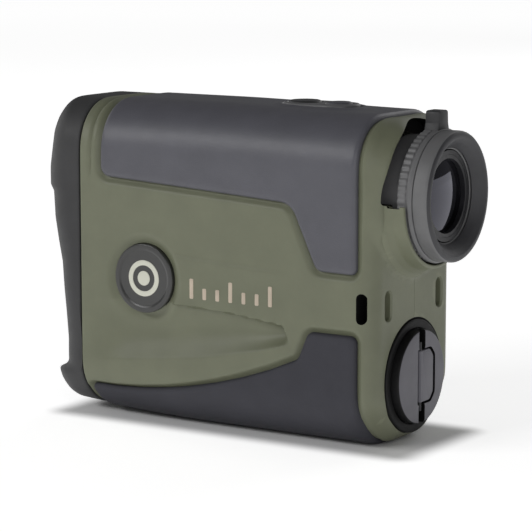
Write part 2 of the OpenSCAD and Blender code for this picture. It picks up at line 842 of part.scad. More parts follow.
module eye_lens() {
    color("#8d83b5", 0.4) lens(lens_r, cup_x - 2.4, cup_x - 0.4, 0.9, 1, eye_z);
}

module middle_lens() {
    color("#a7bccb", 0.4) lens(lens_r, rear_x - 7.5, rear_x - 4.5, -0.6, 1.6, eye_z);
}

// Tube that keeps the two eye lenses apart.
module lens_spacer() {
    color("#1b1b1d") tube(lens_r, lens_r - 0.8, rear_x - 4.1, cup_x - 2.65, 0, eye_z);
}

module eye_lens_retainer() {
    color("#1b1b1d") tube(lens_r, lens_r - 0.8, cup_x - 0.2, cup_x + 0.95, 0, eye_z);
}

module eyepiece_oring() {
    color("#101010") turned(eye_z) translate([oring_floor_r + 0.35, oring_x]) circle(r = 0.35, $fn = 32);
}

// Ring that turns on the barrel. It has ribs for the fingers and a lug at the top.
module diopter_ring() {
    ribs = 40;
    color("#3a3a3c") {
        difference() {
            turned(eye_z) polygon([
                [barrel_r + 0.05, boss_x - 3.6], [neck_r, boss_x - 3.6], [neck_r, ring_x],
                [diopter_r - 0.5, ring_x], [diopter_r, ring_x + 0.5], [diopter_r, cup_x - 0.4],
                [diopter_r - 0.4, cup_x], [12.7, cup_x], [12.7, cup_x + 1], [10.3, cup_x + 1],
                [10.3, cup_x - 1.15], [11.8, cup_x - 1.15], [11.8, cup_x - 2.1], [12.6, cup_x - 2.1],
                [12.6, cup_x - 2.7], [barrel_r + 0.05, cup_x - 2.7]]);
            translate([0, 0, eye_z]) for (k = [0:ribs - 1]) rotate([360 * (k + 0.5) / ribs, 0, 0])
                rod(0.4, ring_x + 0.9, cup_x - 0.7, 0, diopter_r + 0.15);
        }
        diopter_lug();
    }
}

module diopter_lug() {
    w = 2.2;
    top = eye_z + 18.8;
    difference() {
        block([ring_x + 0.2, -w, eye_z + diopter_r - 0.6], [cup_x - 0.1, w, top]);
        for (s = [-1, 1]) translate([0, s * w, top]) rotate([45, 0, 0]) cube([200, 0.7, 0.7], center = true);
    }
}

// Snap ring that keeps the cell in the diopter ring.
module cell_clip() {
    color("#8c8f92") difference() {
        tube(12.5, 11, cup_x - 2.65, cup_x - 2.15, 0, eye_z);
        block([0, -1.5, eye_z - far], [far, 1.5, eye_z]);
    }
}

// Soft cup with a rolled rim.
module eyecup() {
    color("#2f2f31") turned(eye_z) {
        polygon([
            [12.8, cup_x + 0.1], [eyecup_r, cup_x + 0.1], [eyecup_r, eyecup_x - 1],
            [eyecup_r - 1, eyecup_x - 1], [eyecup_r - 1, eyecup_x], [13, eyecup_x], [12.4, eyecup_x - 0.4],
            [10.4, cup_x + 1.2], [12.8, cup_x + 1.2]]);
        translate([eyecup_r - 1, eyecup_x - 1]) circle(r = 1, $fn = 48);
    }
}

// ---------------------------------------------------------------- buttons

// A slice of the pod from z0 to z1, smaller all round by i.
module pod_slice(z0, z1, i) {
    translate([pod_x, 0, z0]) linear_extrude(z1 - z0) stadium(pod_l - 2 * i, pod_w - 2 * i);
}

// Raised pod through the top wall, with a pocket for each button.
module button_bezel() {
    foot_z = body_h - skin - 0.9;
    color("#343438") difference() {
        union() {
            pod_slice(foot_z, foot_z + 0.85, -0.5);
            pod_slice(foot_z, body_h - 0.1, 0.5);
            pod_slice(body_h - armour_t + 0.1, body_h + 0.8, 0);
            pod_slice(body_h + 0.8, body_h + 1.1, 0.4);
        }
        for (b = [[fire_x, fire_r], [mode_x, mode_r]]) translate([b[0], 0, 0]) {
            translate([0, 0, floor_z + 0.6]) cylinder(r = b[1] + 0.1, h = far);
            cylinder(r = 1.4, h = body_h);
            cylinder(r = 2.3, h = floor_z);
        }
    }
}

// A button: a domed head on a stem that snaps through the pocket's floor.
module push_button(x, r) {
    translate([x, 0, 0]) {
        translate([0, 0, head_foot_z]) cylinder(r = r, h = button_top_z - head_foot_z - 0.6);
        translate([0, 0, button_top_z - 0.6]) cylinder(r1 = r, r2 = r - 0.7, h = 0.6);
        translate([0, 0, stem_foot_z]) cylinder(r = 1.25, h = head_foot_z - stem_foot_z + 0.2);
        translate([0, 0, stem_foot_z]) cylinder(r = 1.8, h = 0.6);
    }
}

module fire_button() {
    color("#232326") push_button(fire_x, fire_r);
}

module mode_button() {
    color("#4c4c52") push_button(mode_x, mode_r);
}

// Coil spring under a button's head: rings of points along a helix, joined by faces.
module coil_spring(x, r) {
    n = spring_steps * spring_turns;
    z0 = floor_z + 0.63 + spring_wire;
    rise = head_foot_z - 0.05 - spring_wire - z0;
    pts = [for (k = [0:n]) for (s = [0:spring_sides - 1])
        let (a = 360 * k / spring_steps, b = 360 * s / spring_sides, m = r + spring_wire * cos(b))
        [x + m * cos(a), m * sin(a), z0 + rise * k / n + spring_wire * sin(b)]];
    function at(k, s) = k * spring_sides + s % spring_sides;
    walls = [for (k = [0:n - 1]) for (s = [0:spring_sides - 1])
        [at(k, s), at(k, s + 1), at(k + 1, s + 1), at(k + 1, s)]];
    first_end = [for (s = [spring_sides - 1:-1:0]) at(0, s)];
    last_end = [for (s = [0:spring_sides - 1]) at(n, s)];
    polyhedron(pts, concat(walls, [first_end, last_end]), convexity = 6);
}

module fire_spring() {
    color("#b5b8bb") coil_spring(fire_x, 2.6);
}

module mode_spring() {
    color("#b5b8bb") coil_spring(mode_x, 2.2);
}

// ---------------------------------------------------------------- side trim

module badge(side) {
    color("#28282a") difference() {
        translate([badge_x, side * (body_w / 2 - 0.7 - 0.05), badge_z]) rotate([90, 0, 0])
            cylinder(r = badge_r, h = 1.3, center = true);
        both_sides() badge_target(0.02);
    }
}

module badge_left() {
    badge(-1);
}

module badge_right() {
    badge(1);
}

// A plain target: a ring and a dot, let into the badge's face.
module badge_target(g) {
    y0 = body_w / 2 - 0.5 - g;
    translate([badge_x, y0, badge_z]) rotate([-90, 0, 0]) {
        difference() {
            cylinder(r = 4.2 + g, h = 0.4 + 2 * g);
            translate([0, 0, -1]) cylinder(r = 3 - g, h = 3);
        }
        cylinder(r = 1.7 + g, h = 0.4 + 2 * g);
    }
}

module badge_marks() {
    color("#d4d2c0") both_sides() badge_target(0);
}

// A plain scale of short and long bars, wider by g and deeper by d where it stands for its recess.
module range_mark_bars(g, d) {
    for (k = [0:marks_n - 1]) {
        h = k % 3 == 0 ? 4.6 : 2.6;
        block([marks_x + k * marks_pitch - 0.5 - g, body_w / 2 - paint_drop - 0.25 - g, marks_z - 2.3 - g],
            [marks_x + k * marks_pitch + 0.5 + g, body_w / 2 - paint_drop + 0.05 + d, marks_z - 2.3 + h + g]);
    }
}

module range_marks() {
    color("#b9a58c") both_sides() range_mark_bars(0, 0);
}

// ---------------------------------------------------------------- nodes

left_housing();
right_housing();
housing_gasket();
upper_armour();
lower_armour();
front_bezel();
lens_plate();
bezel_screws();
housing_screws();
objective_cell();
objective_crown_lens();
objective_flint_lens();
objective_retainer();
receiver_cell();
receiver_lens();
receiver_retainer();
emitter_cell();
emitter_lens();
prism_holder();
roof_prism();
half_prism();
display_frame();
display_panel();
main_board();
board_chips();
laser_board();
laser_diode();
light_detector();
button_board();
tact_switches();
flex_cables();
battery_sleeve();
battery();
positive_contact();
battery_port();
eyepiece_barrel();
field_lens();
button_bezel();
fire_spring();
mode_spring();
badge_left();
badge_right();
badge_marks();
range_marks();
fire_button();
mode_button();
eye_lens_cell();
eye_lens();
middle_lens();
lens_spacer();
eye_lens_retainer();
eyepiece_oring();
diopter_ring();
eyecup();
cell_clip();
cap_contact();
battery_cap();
cap_oring();
tab_pin();
cap_tab();
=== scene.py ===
"""Looks of a pocket laser rangefinder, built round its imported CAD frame. Shapes are in millimetres."""
import json
import math

import bmesh
import bpy
import numpy as np
from mathutils import Matrix, Vector
from mathutils.geometry import delaunay_2d_cdt


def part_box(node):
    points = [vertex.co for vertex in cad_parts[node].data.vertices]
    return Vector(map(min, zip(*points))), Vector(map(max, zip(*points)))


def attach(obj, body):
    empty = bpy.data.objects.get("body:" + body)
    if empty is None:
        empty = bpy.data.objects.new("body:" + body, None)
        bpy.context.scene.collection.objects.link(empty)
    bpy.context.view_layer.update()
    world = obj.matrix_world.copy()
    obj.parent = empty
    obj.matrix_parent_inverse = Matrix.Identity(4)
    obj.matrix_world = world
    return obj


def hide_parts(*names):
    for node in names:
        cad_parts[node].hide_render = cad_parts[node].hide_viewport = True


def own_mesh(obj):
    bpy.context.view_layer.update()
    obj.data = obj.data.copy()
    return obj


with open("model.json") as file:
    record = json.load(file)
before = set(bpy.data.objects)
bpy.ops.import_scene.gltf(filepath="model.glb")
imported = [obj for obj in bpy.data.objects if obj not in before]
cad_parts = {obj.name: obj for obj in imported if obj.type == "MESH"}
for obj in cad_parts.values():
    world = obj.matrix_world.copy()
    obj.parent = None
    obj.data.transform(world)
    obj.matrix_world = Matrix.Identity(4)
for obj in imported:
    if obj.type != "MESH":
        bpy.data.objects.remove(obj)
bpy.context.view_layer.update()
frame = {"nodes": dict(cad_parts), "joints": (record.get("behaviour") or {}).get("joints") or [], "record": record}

MM = 0.001


def box_mm(node):
    """A CAD node's lowest and highest corners, in millimetres."""
    low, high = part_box(node)
    return np.array(low) / MM, np.array(high) / MM


def joint_at(name):
    """A joint's point, in millimetres."""
    found = next(j for j in frame["joints"] if j["name"] == name)
    return np.array(found["pos_m"]) / MM


# ---- places taken from the frame

ARMOUR_LOW, ARMOUR_HIGH = box_mm("upper_armour")
FOOT_LOW = box_mm("lower_armour")[0]
HALF_W = ARMOUR_HIGH[1]
BODY_H = ARMOUR_HIGH[2]
PANEL_X = box_mm("lens_plate")[0][0]
REAR_X = box_mm("battery_port")[1][0] - 0.3
BOSS_X = REAR_X + 2
EYE_Z = joint_at("diopter_turn")[2]
BATTERY_Z = joint_at("cap_turn")[2]
CUP_X0 = box_mm("eyecup")[0][0]
BEZEL_X, FAIRING_X, CUP_X1, CAP_X1 = [box_mm(node)[1][0] for node in (
    "front_bezel", "left_housing", "eyecup", "battery_cap")]
CUP_R, RING_R, CAP_R, PORT_R = [box_mm(node)[1][1] for node in (
    "eyecup", "diopter_ring", "battery_cap", "battery_port")]
POD_LOW, POD_HIGH = box_mm("button_bezel")
POD_X = (POD_LOW[0] + POD_HIGH[0]) / 2
BADGE_LOW, BADGE_HIGH = box_mm("badge_right")
BADGE_X = (BADGE_LOW[0] + BADGE_HIGH[0]) / 2
BADGE_Z = (BADGE_LOW[2] + BADGE_HIGH[2]) / 2
BADGE_R = (BADGE_HIGH[0] - BADGE_LOW[0]) / 2
SLOT_Z = next(m for m in frame["record"]["mounts"] if m["name"] == "lanyard_bar_left")["pos_m"][2] / MM

TOP_R = 11  # long edges of the body
BOTTOM_R = 13
PAINT_DROP = 0.3  # painted housing below the armour's face
PANEL_T, PANEL_EDGE = 1.22, 1.1  # thickness of the rubber, and the radius of its edges
BOW_R, BOW_X = 500, -6  # the underside rises towards the front
SEAM = 0.05  # half the gap between the housing halves
REAR_R, REAR_CORNER_R = 4.8, 3.2  # radius of the rear edge, and what the lower corners add to it
BOSS_R, BOSS_SLOPE = 16.9, 2.3  # the flat top of the eyepiece boss, and the width of its slope
POCKET_R, POCKET_DEPTH = 16.7, 3.2  # the pocket round the upper half of the eyepiece, its walls painted black as shade
FAIRING_HALF_W = 16.1  # the collar under the diopter ring stays inside the rounded rear edge
SLOT_H = 6.6  # lanyard slots
GROOVE, BAND, SCOOP, DISH, FRONT_GROOVE = 1.15, 0.24, 2.3, 0.95, 0.4  # heights and depths of the side's relief


# ---- small geometry

def smooth(t):
    """0 below 0, 1 above 1, and a smooth step between."""
    t = np.clip(t, 0, 1)
    return t * t * (3 - 2 * t)


def rounded(points, steps=5):
    """A closed outline of (x, y, radius) corners, with each corner rounded."""
    found = []
    n = len(points)
    for i, (x, y, r) in enumerate(points):
        b = np.array([x, y], float)
        if r <= 0:
            found.append(b)
            continue
        u = np.array(points[i - 1][:2], float) - b
        v = np.array(points[(i + 1) % n][:2], float) - b
        u /= np.linalg.norm(u)
        v /= np.linalg.norm(v)
        half = math.acos(np.clip(u @ v, -1, 1)) / 2
        middle = b + (u + v) / np.linalg.norm(u + v) * r / math.sin(half)
        start = b + u * r / math.tan(half) - middle
        end = b + v * r / math.tan(half) - middle
        a0 = math.atan2(start[1], start[0])
        turn = (math.atan2(end[1], end[0]) - a0 + math.pi) % (2 * math.pi) - math.pi
        for k in range(steps + 1):
            a = a0 + turn * k / steps
            found.append(middle + r * np.array([math.cos(a), math.sin(a)]))
    return np.array(found)


def spaced(loop, step):
    """A closed outline resampled so that its points lie about step apart, with its corners kept."""
    out = []
    for a, b in zip(loop, np.roll(loop, -1, axis=0)):
        count = max(1, int(round(np.linalg.norm(b - a) / step)))
        out.extend(a + (b - a) * k / count for k in range(count))
    return np.array(out)


def offset(loop, d):
    """A closed counterclockwise outline moved inwards by d."""
    before, after = np.roll(loop, 1, axis=0), np.roll(loop, -1, axis=0)
    t1 = loop - before
    t2 = after - loop
    t1 /= np.linalg.norm(t1, axis=1)[:, None]
    t2 /= np.linalg.norm(t2, axis=1)[:, None]
    n = np.stack([-(t1 + t2)[:, 1], (t1 + t2)[:, 0]], 1)
    n /= np.linalg.norm(n, axis=1)[:, None]
    stretch = np.clip(n[:, 0] * -t1[:, 1] + n[:, 1] * t1[:, 0], 0.5, 1)
    return loop + n * (d / stretch)[:, None]


def signed_distance(points, loop):
    """Distance of 2-D points from a closed outline: positive outside."""
    best = np.full(len(points), 1e9)
    inside = np.zeros(len(points), bool)
    for a, b in zip(loop, np.roll(loop, -1, axis=0)):
        d = b - a
        t = np.clip(((points - a) @ d) / (d @ d), 0, 1)
        best = np.minimum(best, np.hypot(*(points - a - t[:, None] * d).T))
        crosses = (a[1] > points[:, 1]) != (b[1] > points[:, 1])
        if b[1] != a[1]:
            at = a[0] + (points[:, 1] - a[1]) * d[0] / d[1]
            inside ^= crosses & (points[:, 0] < at)
    return np.where(inside, -best, best)


def stadium(length, width, steps=10):
    """A counterclockwise outline with round ends, long along its first axis."""
    r = width / 2
    flat = length / 2 - r
    a = np.linspace(-math.pi / 2, math.pi / 2, steps)
    right = np.stack([flat + r * np.cos(a), r * np.sin(a)], 1)
    return np.concatenate([right, -right])


def upright(loop):
    """The outline with its axes swapped, still counterclockwise."""
    return loop[:, ::-1][::-1]


def circle(r, n=64):
    a = np.linspace(0, 2 * math.pi, n, endpoint=False)
    return np.stack([r * np.cos(a), r * np.sin(a)], 1)


# ---- meshes

def add(name, verts, faces, body, slot, material, replaces=(), sharp=35, face_materials=None):
    """A piece from vertices in millimetres, which rides on a body and takes a material. The slot argument is not used.
    """
    mesh = bpy.data.meshes.new(name)
    mesh.from_pydata((np.asarray(verts, float) * MM).tolist(), [], [list(map(int, f)) for f in faces])
    materials = material if isinstance(material, list) else [material]
    for m in materials:
        mesh.materials.append(m)
    if face_materials is not None:
        mesh.polygons.foreach_set("material_index", np.asarray(face_materials, np.int32))
    obj = bpy.data.objects.new(name, mesh)
    bpy.context.scene.collection.objects.link(obj)
    finish_mesh(mesh, sharp)
    if body:
        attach(obj, body)
    if replaces:
        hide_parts(*replaces)
    return obj


def finish_mesh(mesh, sharp):
    """Outward normals, no loose or doubled points, and smooth shading up to an angle."""
    bm = bmesh.new()
    bm.from_mesh(mesh)
    bmesh.ops.remove_doubles(bm, verts=bm.verts, dist=1e-7)
    bmesh.ops.dissolve_degenerate(bm, edges=bm.edges, dist=1e-7)
    bmesh.ops.recalc_face_normals(bm, faces=bm.faces)
    loose = [v for v in bm.verts if not v.link_faces]
    bmesh.ops.delete(bm, geom=loose, context="VERTS")
    bm.to_mesh(mesh)
    bm.free()
    mesh.shade_smooth()
    mesh.set_sharp_from_angle(angle=math.radians(sharp))


def grid_faces(rows, columns, first=0, wrap_rows=False, wrap_columns=False):
    """Quads between the points of a grid that is stored row by row."""
    r = np.arange(rows if wrap_rows else rows - 1)
    c = np.arange(columns if wrap_columns else columns - 1)
    r, c = [g.ravel() for g in np.meshgrid(r, c, indexing="ij")]
    r1, c1 = (r + 1) % rows, (c + 1) % columns
    at = lambda i, j: first + i * columns + j
    return np.stack([at(r, c), at(r, c1), at(r1, c1), at(r1, c)], 1)


def lathe_mesh(profile, y=0.0, z=0.0, segments=128):
    """Vertices and faces of a closed (radius, x) profile turned about an axis along X."""
    a = np.linspace(0, 2 * math.pi, segments, endpoint=False)
    p = np.asarray(profile, float)
    r, x = p[:, 0][:, None], p[:, 1][:, None]
    verts = np.stack([x + 0 * a, y + r * np.cos(a), z + r * np.sin(a)], 2).reshape(-1, 3)
    return verts, grid_faces(len(p), segments, wrap_rows=True, wrap_columns=True)


def prism_mesh(loop, levels, to_world):
    """A solid lofted through offset copies of an outline: levels are (depth, outset)."""
    rings = [np.column_stack([offset(loop, -out), np.full(len(loop), depth)]) for depth, out in levels]
    verts = to_world(np.concatenate(rings))
    n = len(loop)
    faces = grid_faces(len(levels), n, wrap_columns=True).tolist()
    faces.append(list(range(n))[::-1])
    faces.append(list(range((len(levels) - 1) * n, len(levels) * n)))
    return verts, faces


def joined(parts):
    """Several (vertices, faces) as one."""
    verts, faces, count = [], [], 0
    for v, f in parts:
        verts.append(np.asarray(v))
        faces.extend([[i + count for i in face] for face in (f.tolist() if hasattr(f, "tolist") else f)])
        count += len(v)
    return np.concatenate(verts), faces


def cut(obj, cutters, sharp=35, operation="DIFFERENCE"):
    """Takes the cutters' space out of obj, or adds it. Each cutter is (vertices, faces, material)."""
    for verts, faces, material in cutters:
        mesh = bpy.data.meshes.new("cutter")
        mesh.from_pydata((np.asarray(verts, float) * MM).tolist(), [], [list(map(int, f)) for f in faces])
        mesh.materials.append(material)
        tool = bpy.data.objects.new("cutter", mesh)
        bpy.context.scene.collection.objects.link(tool)
        finish_mesh(mesh, sharp)
        modifier = obj.modifiers.new("cut", "BOOLEAN")
        modifier.object = tool
        modifier.operation = operation
        modifier.solver = "EXACT"
        modifier.material_mode = "TRANSFER"
        bpy.context.view_layer.update()
        depsgraph = bpy.context.evaluated_depsgraph_get()
        made = bpy.data.meshes.new_from_object(obj.evaluated_get(depsgraph))
        obj.modifiers.clear()
        old = obj.data
        made.name = old.name
        obj.data = made
        bpy.data.meshes.remove(old)
        bpy.data.objects.remove(tool)
        bpy.data.meshes.remove(mesh)
    finish_mesh(obj.data, sharp)


# ---- materials

def linear(c):
    """A display colour from 0 to 255 as linear light."""
    return [(v / 255 / 12.92 if v / 255 <= 0.04045 else ((v / 255 + 0.055) / 1.055) ** 2.4) for v in c] + [1]


ROUGH_SPREAD = 0.08  # how much the gloss varies on a moulded surface
GLASS_ROUGHNESS = 0.03


def new_material(name):
    """A node material, its shader and its object coordinates."""
    material = bpy.data.materials.new(name)
    material.use_nodes = True
    return material, material.node_tree.nodes["Principled BSDF"], add_node(material, "TexCoord").outputs["Object"]


def add_node(material, kind, **inputs):
    """A new shader node with some of its inputs set, or linked where a socket is given."""
    node = material.node_tree.nodes.new("ShaderNode" + kind)
    for key, value in inputs.items():
        socket = node.inputs[key.replace("_", " ")]
        if isinstance(value, bpy.types.NodeSocket):
            material.node_tree.links.new(value, socket)
        else:
            socket.default_value = value
    return node


def surface(name, color, roughness, grain=0.0, grain_size=0.25, mottle=0.12, wear=0.0, metallic=0.0,
            coat=0.0, specular=0.5, streak=(1, 1, 1)):
    """A moulded, painted or rubber surface: mottled colour, a fine bump, uneven gloss and rubbed edges."""
    material, shader, place = new_material(name)
    link = material.node_tree.links.new
    base = linear(color)[:3]

    def noise(size, detail, stretch=(1, 1, 1)):
        mapping = add_node(material, "Mapping", Vector=place, Scale=stretch)
        return add_node(material, "TexNoise", Vector=mapping.outputs["Vector"], Scale=1 / (size * MM),
                        Detail=detail, Roughness=0.6).outputs["Fac"]

    shades = add_node(material, "ValToRGB", Fac=noise(9, 4))
    for element, position, share in zip(shades.color_ramp.elements, (0.3, 0.7), (1 - mottle, 1 + mottle)):
        element.position = position
        element.color = [min(1, v * share) for v in base] + [1]
    colour_out = shades.outputs["Color"]
    if wear > 0:
        geometry = add_node(material, "NewGeometry")
        edge = add_node(material, "MapRange", Value=geometry.outputs["Pointiness"], From_Min=0.53, From_Max=0.6,
                        To_Max=wear)
        patchy = add_node(material, "Math")
        patchy.operation = "MULTIPLY"
        link(edge.outputs["Result"], patchy.inputs[0])
        link(noise(3, 5), patchy.inputs[1])
        rub = add_node(material, "Mix")
        rub.data_type = "RGBA"
        link(patchy.outputs["Value"], rub.inputs["Factor"])
        link(colour_out, rub.inputs["A"])
        rub.inputs["B"].default_value = [min(1, v * 1.9 + 0.02) for v in base] + [1]
        colour_out = rub.outputs["Result"]
    link(colour_out, shader.inputs["Base Color"])
    gloss = add_node(material, "MapRange", Value=noise(2.2, 4), To_Min=max(0.02, roughness - ROUGH_SPREAD),
                     To_Max=min(1, roughness + ROUGH_SPREAD))
    link(gloss.outputs["Result"], shader.inputs["Roughness"])
    shader.inputs["Metallic"].default_value = metallic
    shader.inputs["Specular IOR Level"].default_value = specular
    if coat:
        shader.inputs["Coat Weight"].default_value = coat
        shader.inputs["Coat Roughness"].default_value = 0.12
    if grain > 0:
        bump = add_node(material, "Bump", Height=noise(grain_size, 3, streak), Strength=1.0, Distance=grain * MM)
        link(bump.outputs["Normal"], shader.inputs["Normal"])
    return material


def glass(name, tint, coating):
    """A coated lens: dark and clear inside, with a coloured reflection off its coating."""
    material, shader, place = new_material(name)
    link = material.node_tree.links.new
    dust = add_node(material, "TexNoise", Vector=place, Scale=700, Detail=6)
    film = add_node(material, "MapRange", Value=dust.outputs["Fac"], From_Min=0.45, From_Max=0.8,
                    To_Min=GLASS_ROUGHNESS, To_Max=GLASS_ROUGHNESS + 0.08)
    link(film.outputs["Result"], shader.inputs["Roughness"])
    facing = add_node(material, "LayerWeight", Blend=0.35)
    mix = add_node(material, "Mix")
    mix.data_type = "RGBA"
    mix.inputs["A"].default_value = linear(tint)
    mix.inputs["B"].default_value = linear(coating)
    link(facing.outputs["Facing"], mix.inputs["Factor"])
    link(mix.outputs["Result"], shader.inputs["Base Color"])
    shader.inputs["Specular IOR Level"].default_value = 0.8
    shader.inputs["Coat Weight"].default_value = 1.0
    shader.inputs["Coat Roughness"].default_value = 0.02
    shader.inputs["Coat Tint"].default_value = linear(coating)
    shader.inputs["Transmission Weight"].default_value = 1.0
    return material


GREEN = surface("olive_paint", (104, 107, 87), 0.5, grain=0.02, grain_size=0.22, mottle=0.07, wear=0.35)
UPPER_RUBBER = surface("upper_rubber", (80, 80, 87), 0.42, grain=0.05, grain_size=0.3, mottle=0.08)
# painted shade: the same rubber as the upper panel, set darker because the lower panel faces away from the light
LOWER_RUBBER_PAINTED_SHADE = surface("lower_rubber", (58, 58, 64), 0.6, specular=0.2, grain=0.05, grain_size=0.3, mottle=0.08)
BEZEL = surface("bezel_black", (54, 54, 55), 0.55, specular=0.35, grain=0.03, grain_size=0.25, wear=0.3)
BLACK = surface("satin_black", (26, 26, 28), 0.4, grain=0.015, grain_size=0.2)
# painted shade: near-black with little gloss, for the walls of the cavity, pockets, slots and recesses where only shade
# falls
PAINTED_SHADE_BLACK = surface("painted_shade_black", (9, 9, 9), 0.8, specular=0.1, grain=0.01)
CAP_GREY = surface("cap_grey", (84, 83, 90), 0.45, grain=0.02, grain_size=0.2, wear=0.3)
POD_BLACK = surface("pod_black", (92, 92, 94), 0.45, grain=0.03, grain_size=0.25, wear=0.3)
# near-black of the battery port's ring, also used as painted shade on the cap's outer wall and in the port's bore
PORT_BLACK_AND_SHADE = surface("port_black_and_painted_shade", (15, 15, 16), 0.6, specular=0.25, grain=0.02, grain_size=0.2)
RING_GREY = surface("ring_grey", (98, 98, 99), 0.45, grain=0.015, grain_size=0.2, wear=0.1)
CUP_RUBBER = surface("cup_rubber", (52, 52, 55), 0.55, grain=0.03, grain_size=0.2)
# painted highlight: a lighter copy of the eyecup rubber for the cup's outer side, which faces the lamps
CUP_SIDE_PAINTED_LIT = surface("cup_side_painted_highlight", (98, 98, 99), 0.5, grain=0.03, grain_size=0.2)
SEAL = surface("seal_rubber", (18, 18, 18), 0.6, grain=0.01)
BUTTON = surface("button_rubber", (44, 44, 46), 0.5, grain=0.02, grain_size=0.2)
MODE = surface("mode_rubber", (74, 74, 80), 0.5, grain=0.02, grain_size=0.2)
BADGE = surface("badge_black", (40, 40, 39), 0.35, grain=0.01, grain_size=0.3, coat=0.4)
CREAM = surface("badge_cream", (204, 204, 190), 0.4, grain=0.01, grain_size=0.3, mottle=0.04)
MARKS = surface("mark_print", (186, 172, 154), 0.4, grain=0.01, mottle=0.1)
STEEL = surface("steel", (168, 168, 172), 0.3, grain=0.01, grain_size=0.1, metallic=1, streak=(1, 12, 1))
BLACK_STEEL = surface("black_steel", (48, 48, 50), 0.35, grain=0.01, grain_size=0.1, metallic=0.8)
GOLD = surface("gold_plate", (212, 176, 96), 0.28, grain=0.008, grain_size=0.15, metallic=1)
NICKEL = surface("nickel_can", (176, 178, 180), 0.3, grain=0.008, grain_size=0.15, metallic=1)
ANODISED = surface("black_anodised", (30, 30, 33), 0.36, grain=0.012, grain_size=0.12, metallic=0.3, wear=0.3)
BOARD = surface("solder_mask", (32, 92, 58), 0.32, grain=0.02, grain_size=0.5, mottle=0.25, coat=0.3)
CHIP = surface("chip_epoxy", (34, 34, 36), 0.55, grain=0.01, grain_size=0.15)
FILM = surface("amber_film", (190, 124, 52), 0.25, grain=0.01, grain_size=0.8, coat=0.3, streak=(1, 8, 1))
WRAP = surface("battery_wrap", (62, 104, 150), 0.3, grain=0.01, grain_size=1.2, coat=0.3)
EYE_GLASS = glass("eye_glass", (22, 22, 34), (96, 96, 150))
FRONT_GLASS = glass("front_glass", (16, 20, 26), (70, 120, 104))
LASER_GLASS = glass("laser_glass", (24, 8, 14), (120, 40, 60))
CLEAR = glass("clear_glass", (205, 220, 226), (160, 190, 200))

# ---- the body's section

SECTION_STEP = 0.25


def half_section():
    """Half of the body's outline from the bottom's middle to the top's, evenly spaced, with its normals."""
    flat_low, flat_high = HALF_W - BOTTOM_R, HALF_W - TOP_R
    low = np.linspace(-math.pi / 2, 0, 40)
    high = np.linspace(0, math.pi / 2, 40)
    y = np.concatenate([[0], flat_low + BOTTOM_R * np.cos(low), flat_high + TOP_R * np.cos(high), [0]])
    z = np.concatenate([[0], BOTTOM_R + BOTTOM_R * np.sin(low), BODY_H - TOP_R + TOP_R * np.sin(high), [BODY_H]])
    y = y * (1 - 0.03 * ((z - 38) / 25) ** 2)
    s = np.concatenate([[0], np.cumsum(np.hypot(np.diff(y), np.diff(z)))])
    even = np.linspace(0, s[-1], int(s[-1] / SECTION_STEP))
    y, z = np.interp(even, s, y), np.interp(even, s, z)
    # soften the joins of the arcs, mirrored past both ends
    pad = int(6 / SECTION_STEP)
    kernel = np.exp(-0.5 * (np.arange(-pad, pad + 1) * SECTION_STEP / 1.6) ** 2)
    kernel /= kernel.sum()
    y_long = np.concatenate([-y[pad:0:-1], y, -y[-2:-pad - 2:-1]])
    z_long = np.concatenate([z[pad:0:-1], z, z[-2:-pad - 2:-1]])
    y, z = np.convolve(y_long, kernel, "valid"), np.convolve(z_long, kernel, "valid")
    y[0] = y[-1] = 0
    z = (z - z[0]) * BODY_H / (z[-1] - z[0])
    y *= HALF_W / y.max()
    s = np.concatenate([[0], np.cumsum(np.hypot(np.diff(y), np.diff(z)))])
    ty, tz = np.gradient(y, s), np.gradient(z, s)
    length = np.hypot(ty, tz)
    ny, nz = tz / length, -ty / length
    ny[0] = ny[-1] = 0
    nz[0], nz[-1] = -1, 1
    return s, y, z, ny, nz


S, SY, SZ, SNY, SNZ = half_section()
LENGTH = S[-1]


def rise(x):
    """How far the underside rises above the standing surface at x."""
    back = np.minimum(x - BOW_X, 0)
    return BOW_R - np.sqrt(BOW_R ** 2 - back ** 2)


def body_point(x, s, inset):
    """Points on the body set in by inset, at x and at arc length s from the bottom's middle."""
    y = np.interp(s, S, SY) - inset * np.interp(s, S, SNY)
    z0 = np.interp(s, S, SZ)
    z = z0 - inset * np.interp(s, S, SNZ)
    low, high = 1 - smooth(z0 / 20), smooth((z0 - 48) / 22)
    crown = 0.8 * (1 - smooth((x + 12) / 52))
    return np.stack(np.broadcast_arrays(x, y, z + rise(x) * low + crown * high), -1)


def rear_radius(s):
    """Radius of the rear edge at arc length s: softer at the lower corners."""
    ny, nz = np.interp(s, S, SNY), np.interp(s, S, SNZ)
    return REAR_R + REAR_CORNER_R * (2 * ny * np.minimum(nz, 0)) ** 2


def rear_inset(x, s):
    """How far the rounded rear edge draws the side in at x."""
    r = rear_radius(s)
    over = np.clip(x - REAR_X + r, 0, r)
    return r - np.sqrt(r * r - over * over)


def s_of_z(z):
    """Arc length from the bottom's middle at which the side is at height z."""
    return np.interp(z, SZ, S)


# ---- outlines on the side, as (x, z)

FRONT_EDGE = ARMOUR_LOW[0]
REAR_EDGE = ARMOUR_HIGH[0]


def upper_outline():
    """The saddle over the top with its tail, as (x, distance from the top's middle); right side only."""
    corners = [(FRONT_EDGE, 57, 2.4), (19, 54.2, 4.5), (25.6, 39.8, 2.6), (REAR_EDGE, 39.6, 1.6)]
    return [(x, LENGTH - s_of_z(z), r) for x, z, r in corners]


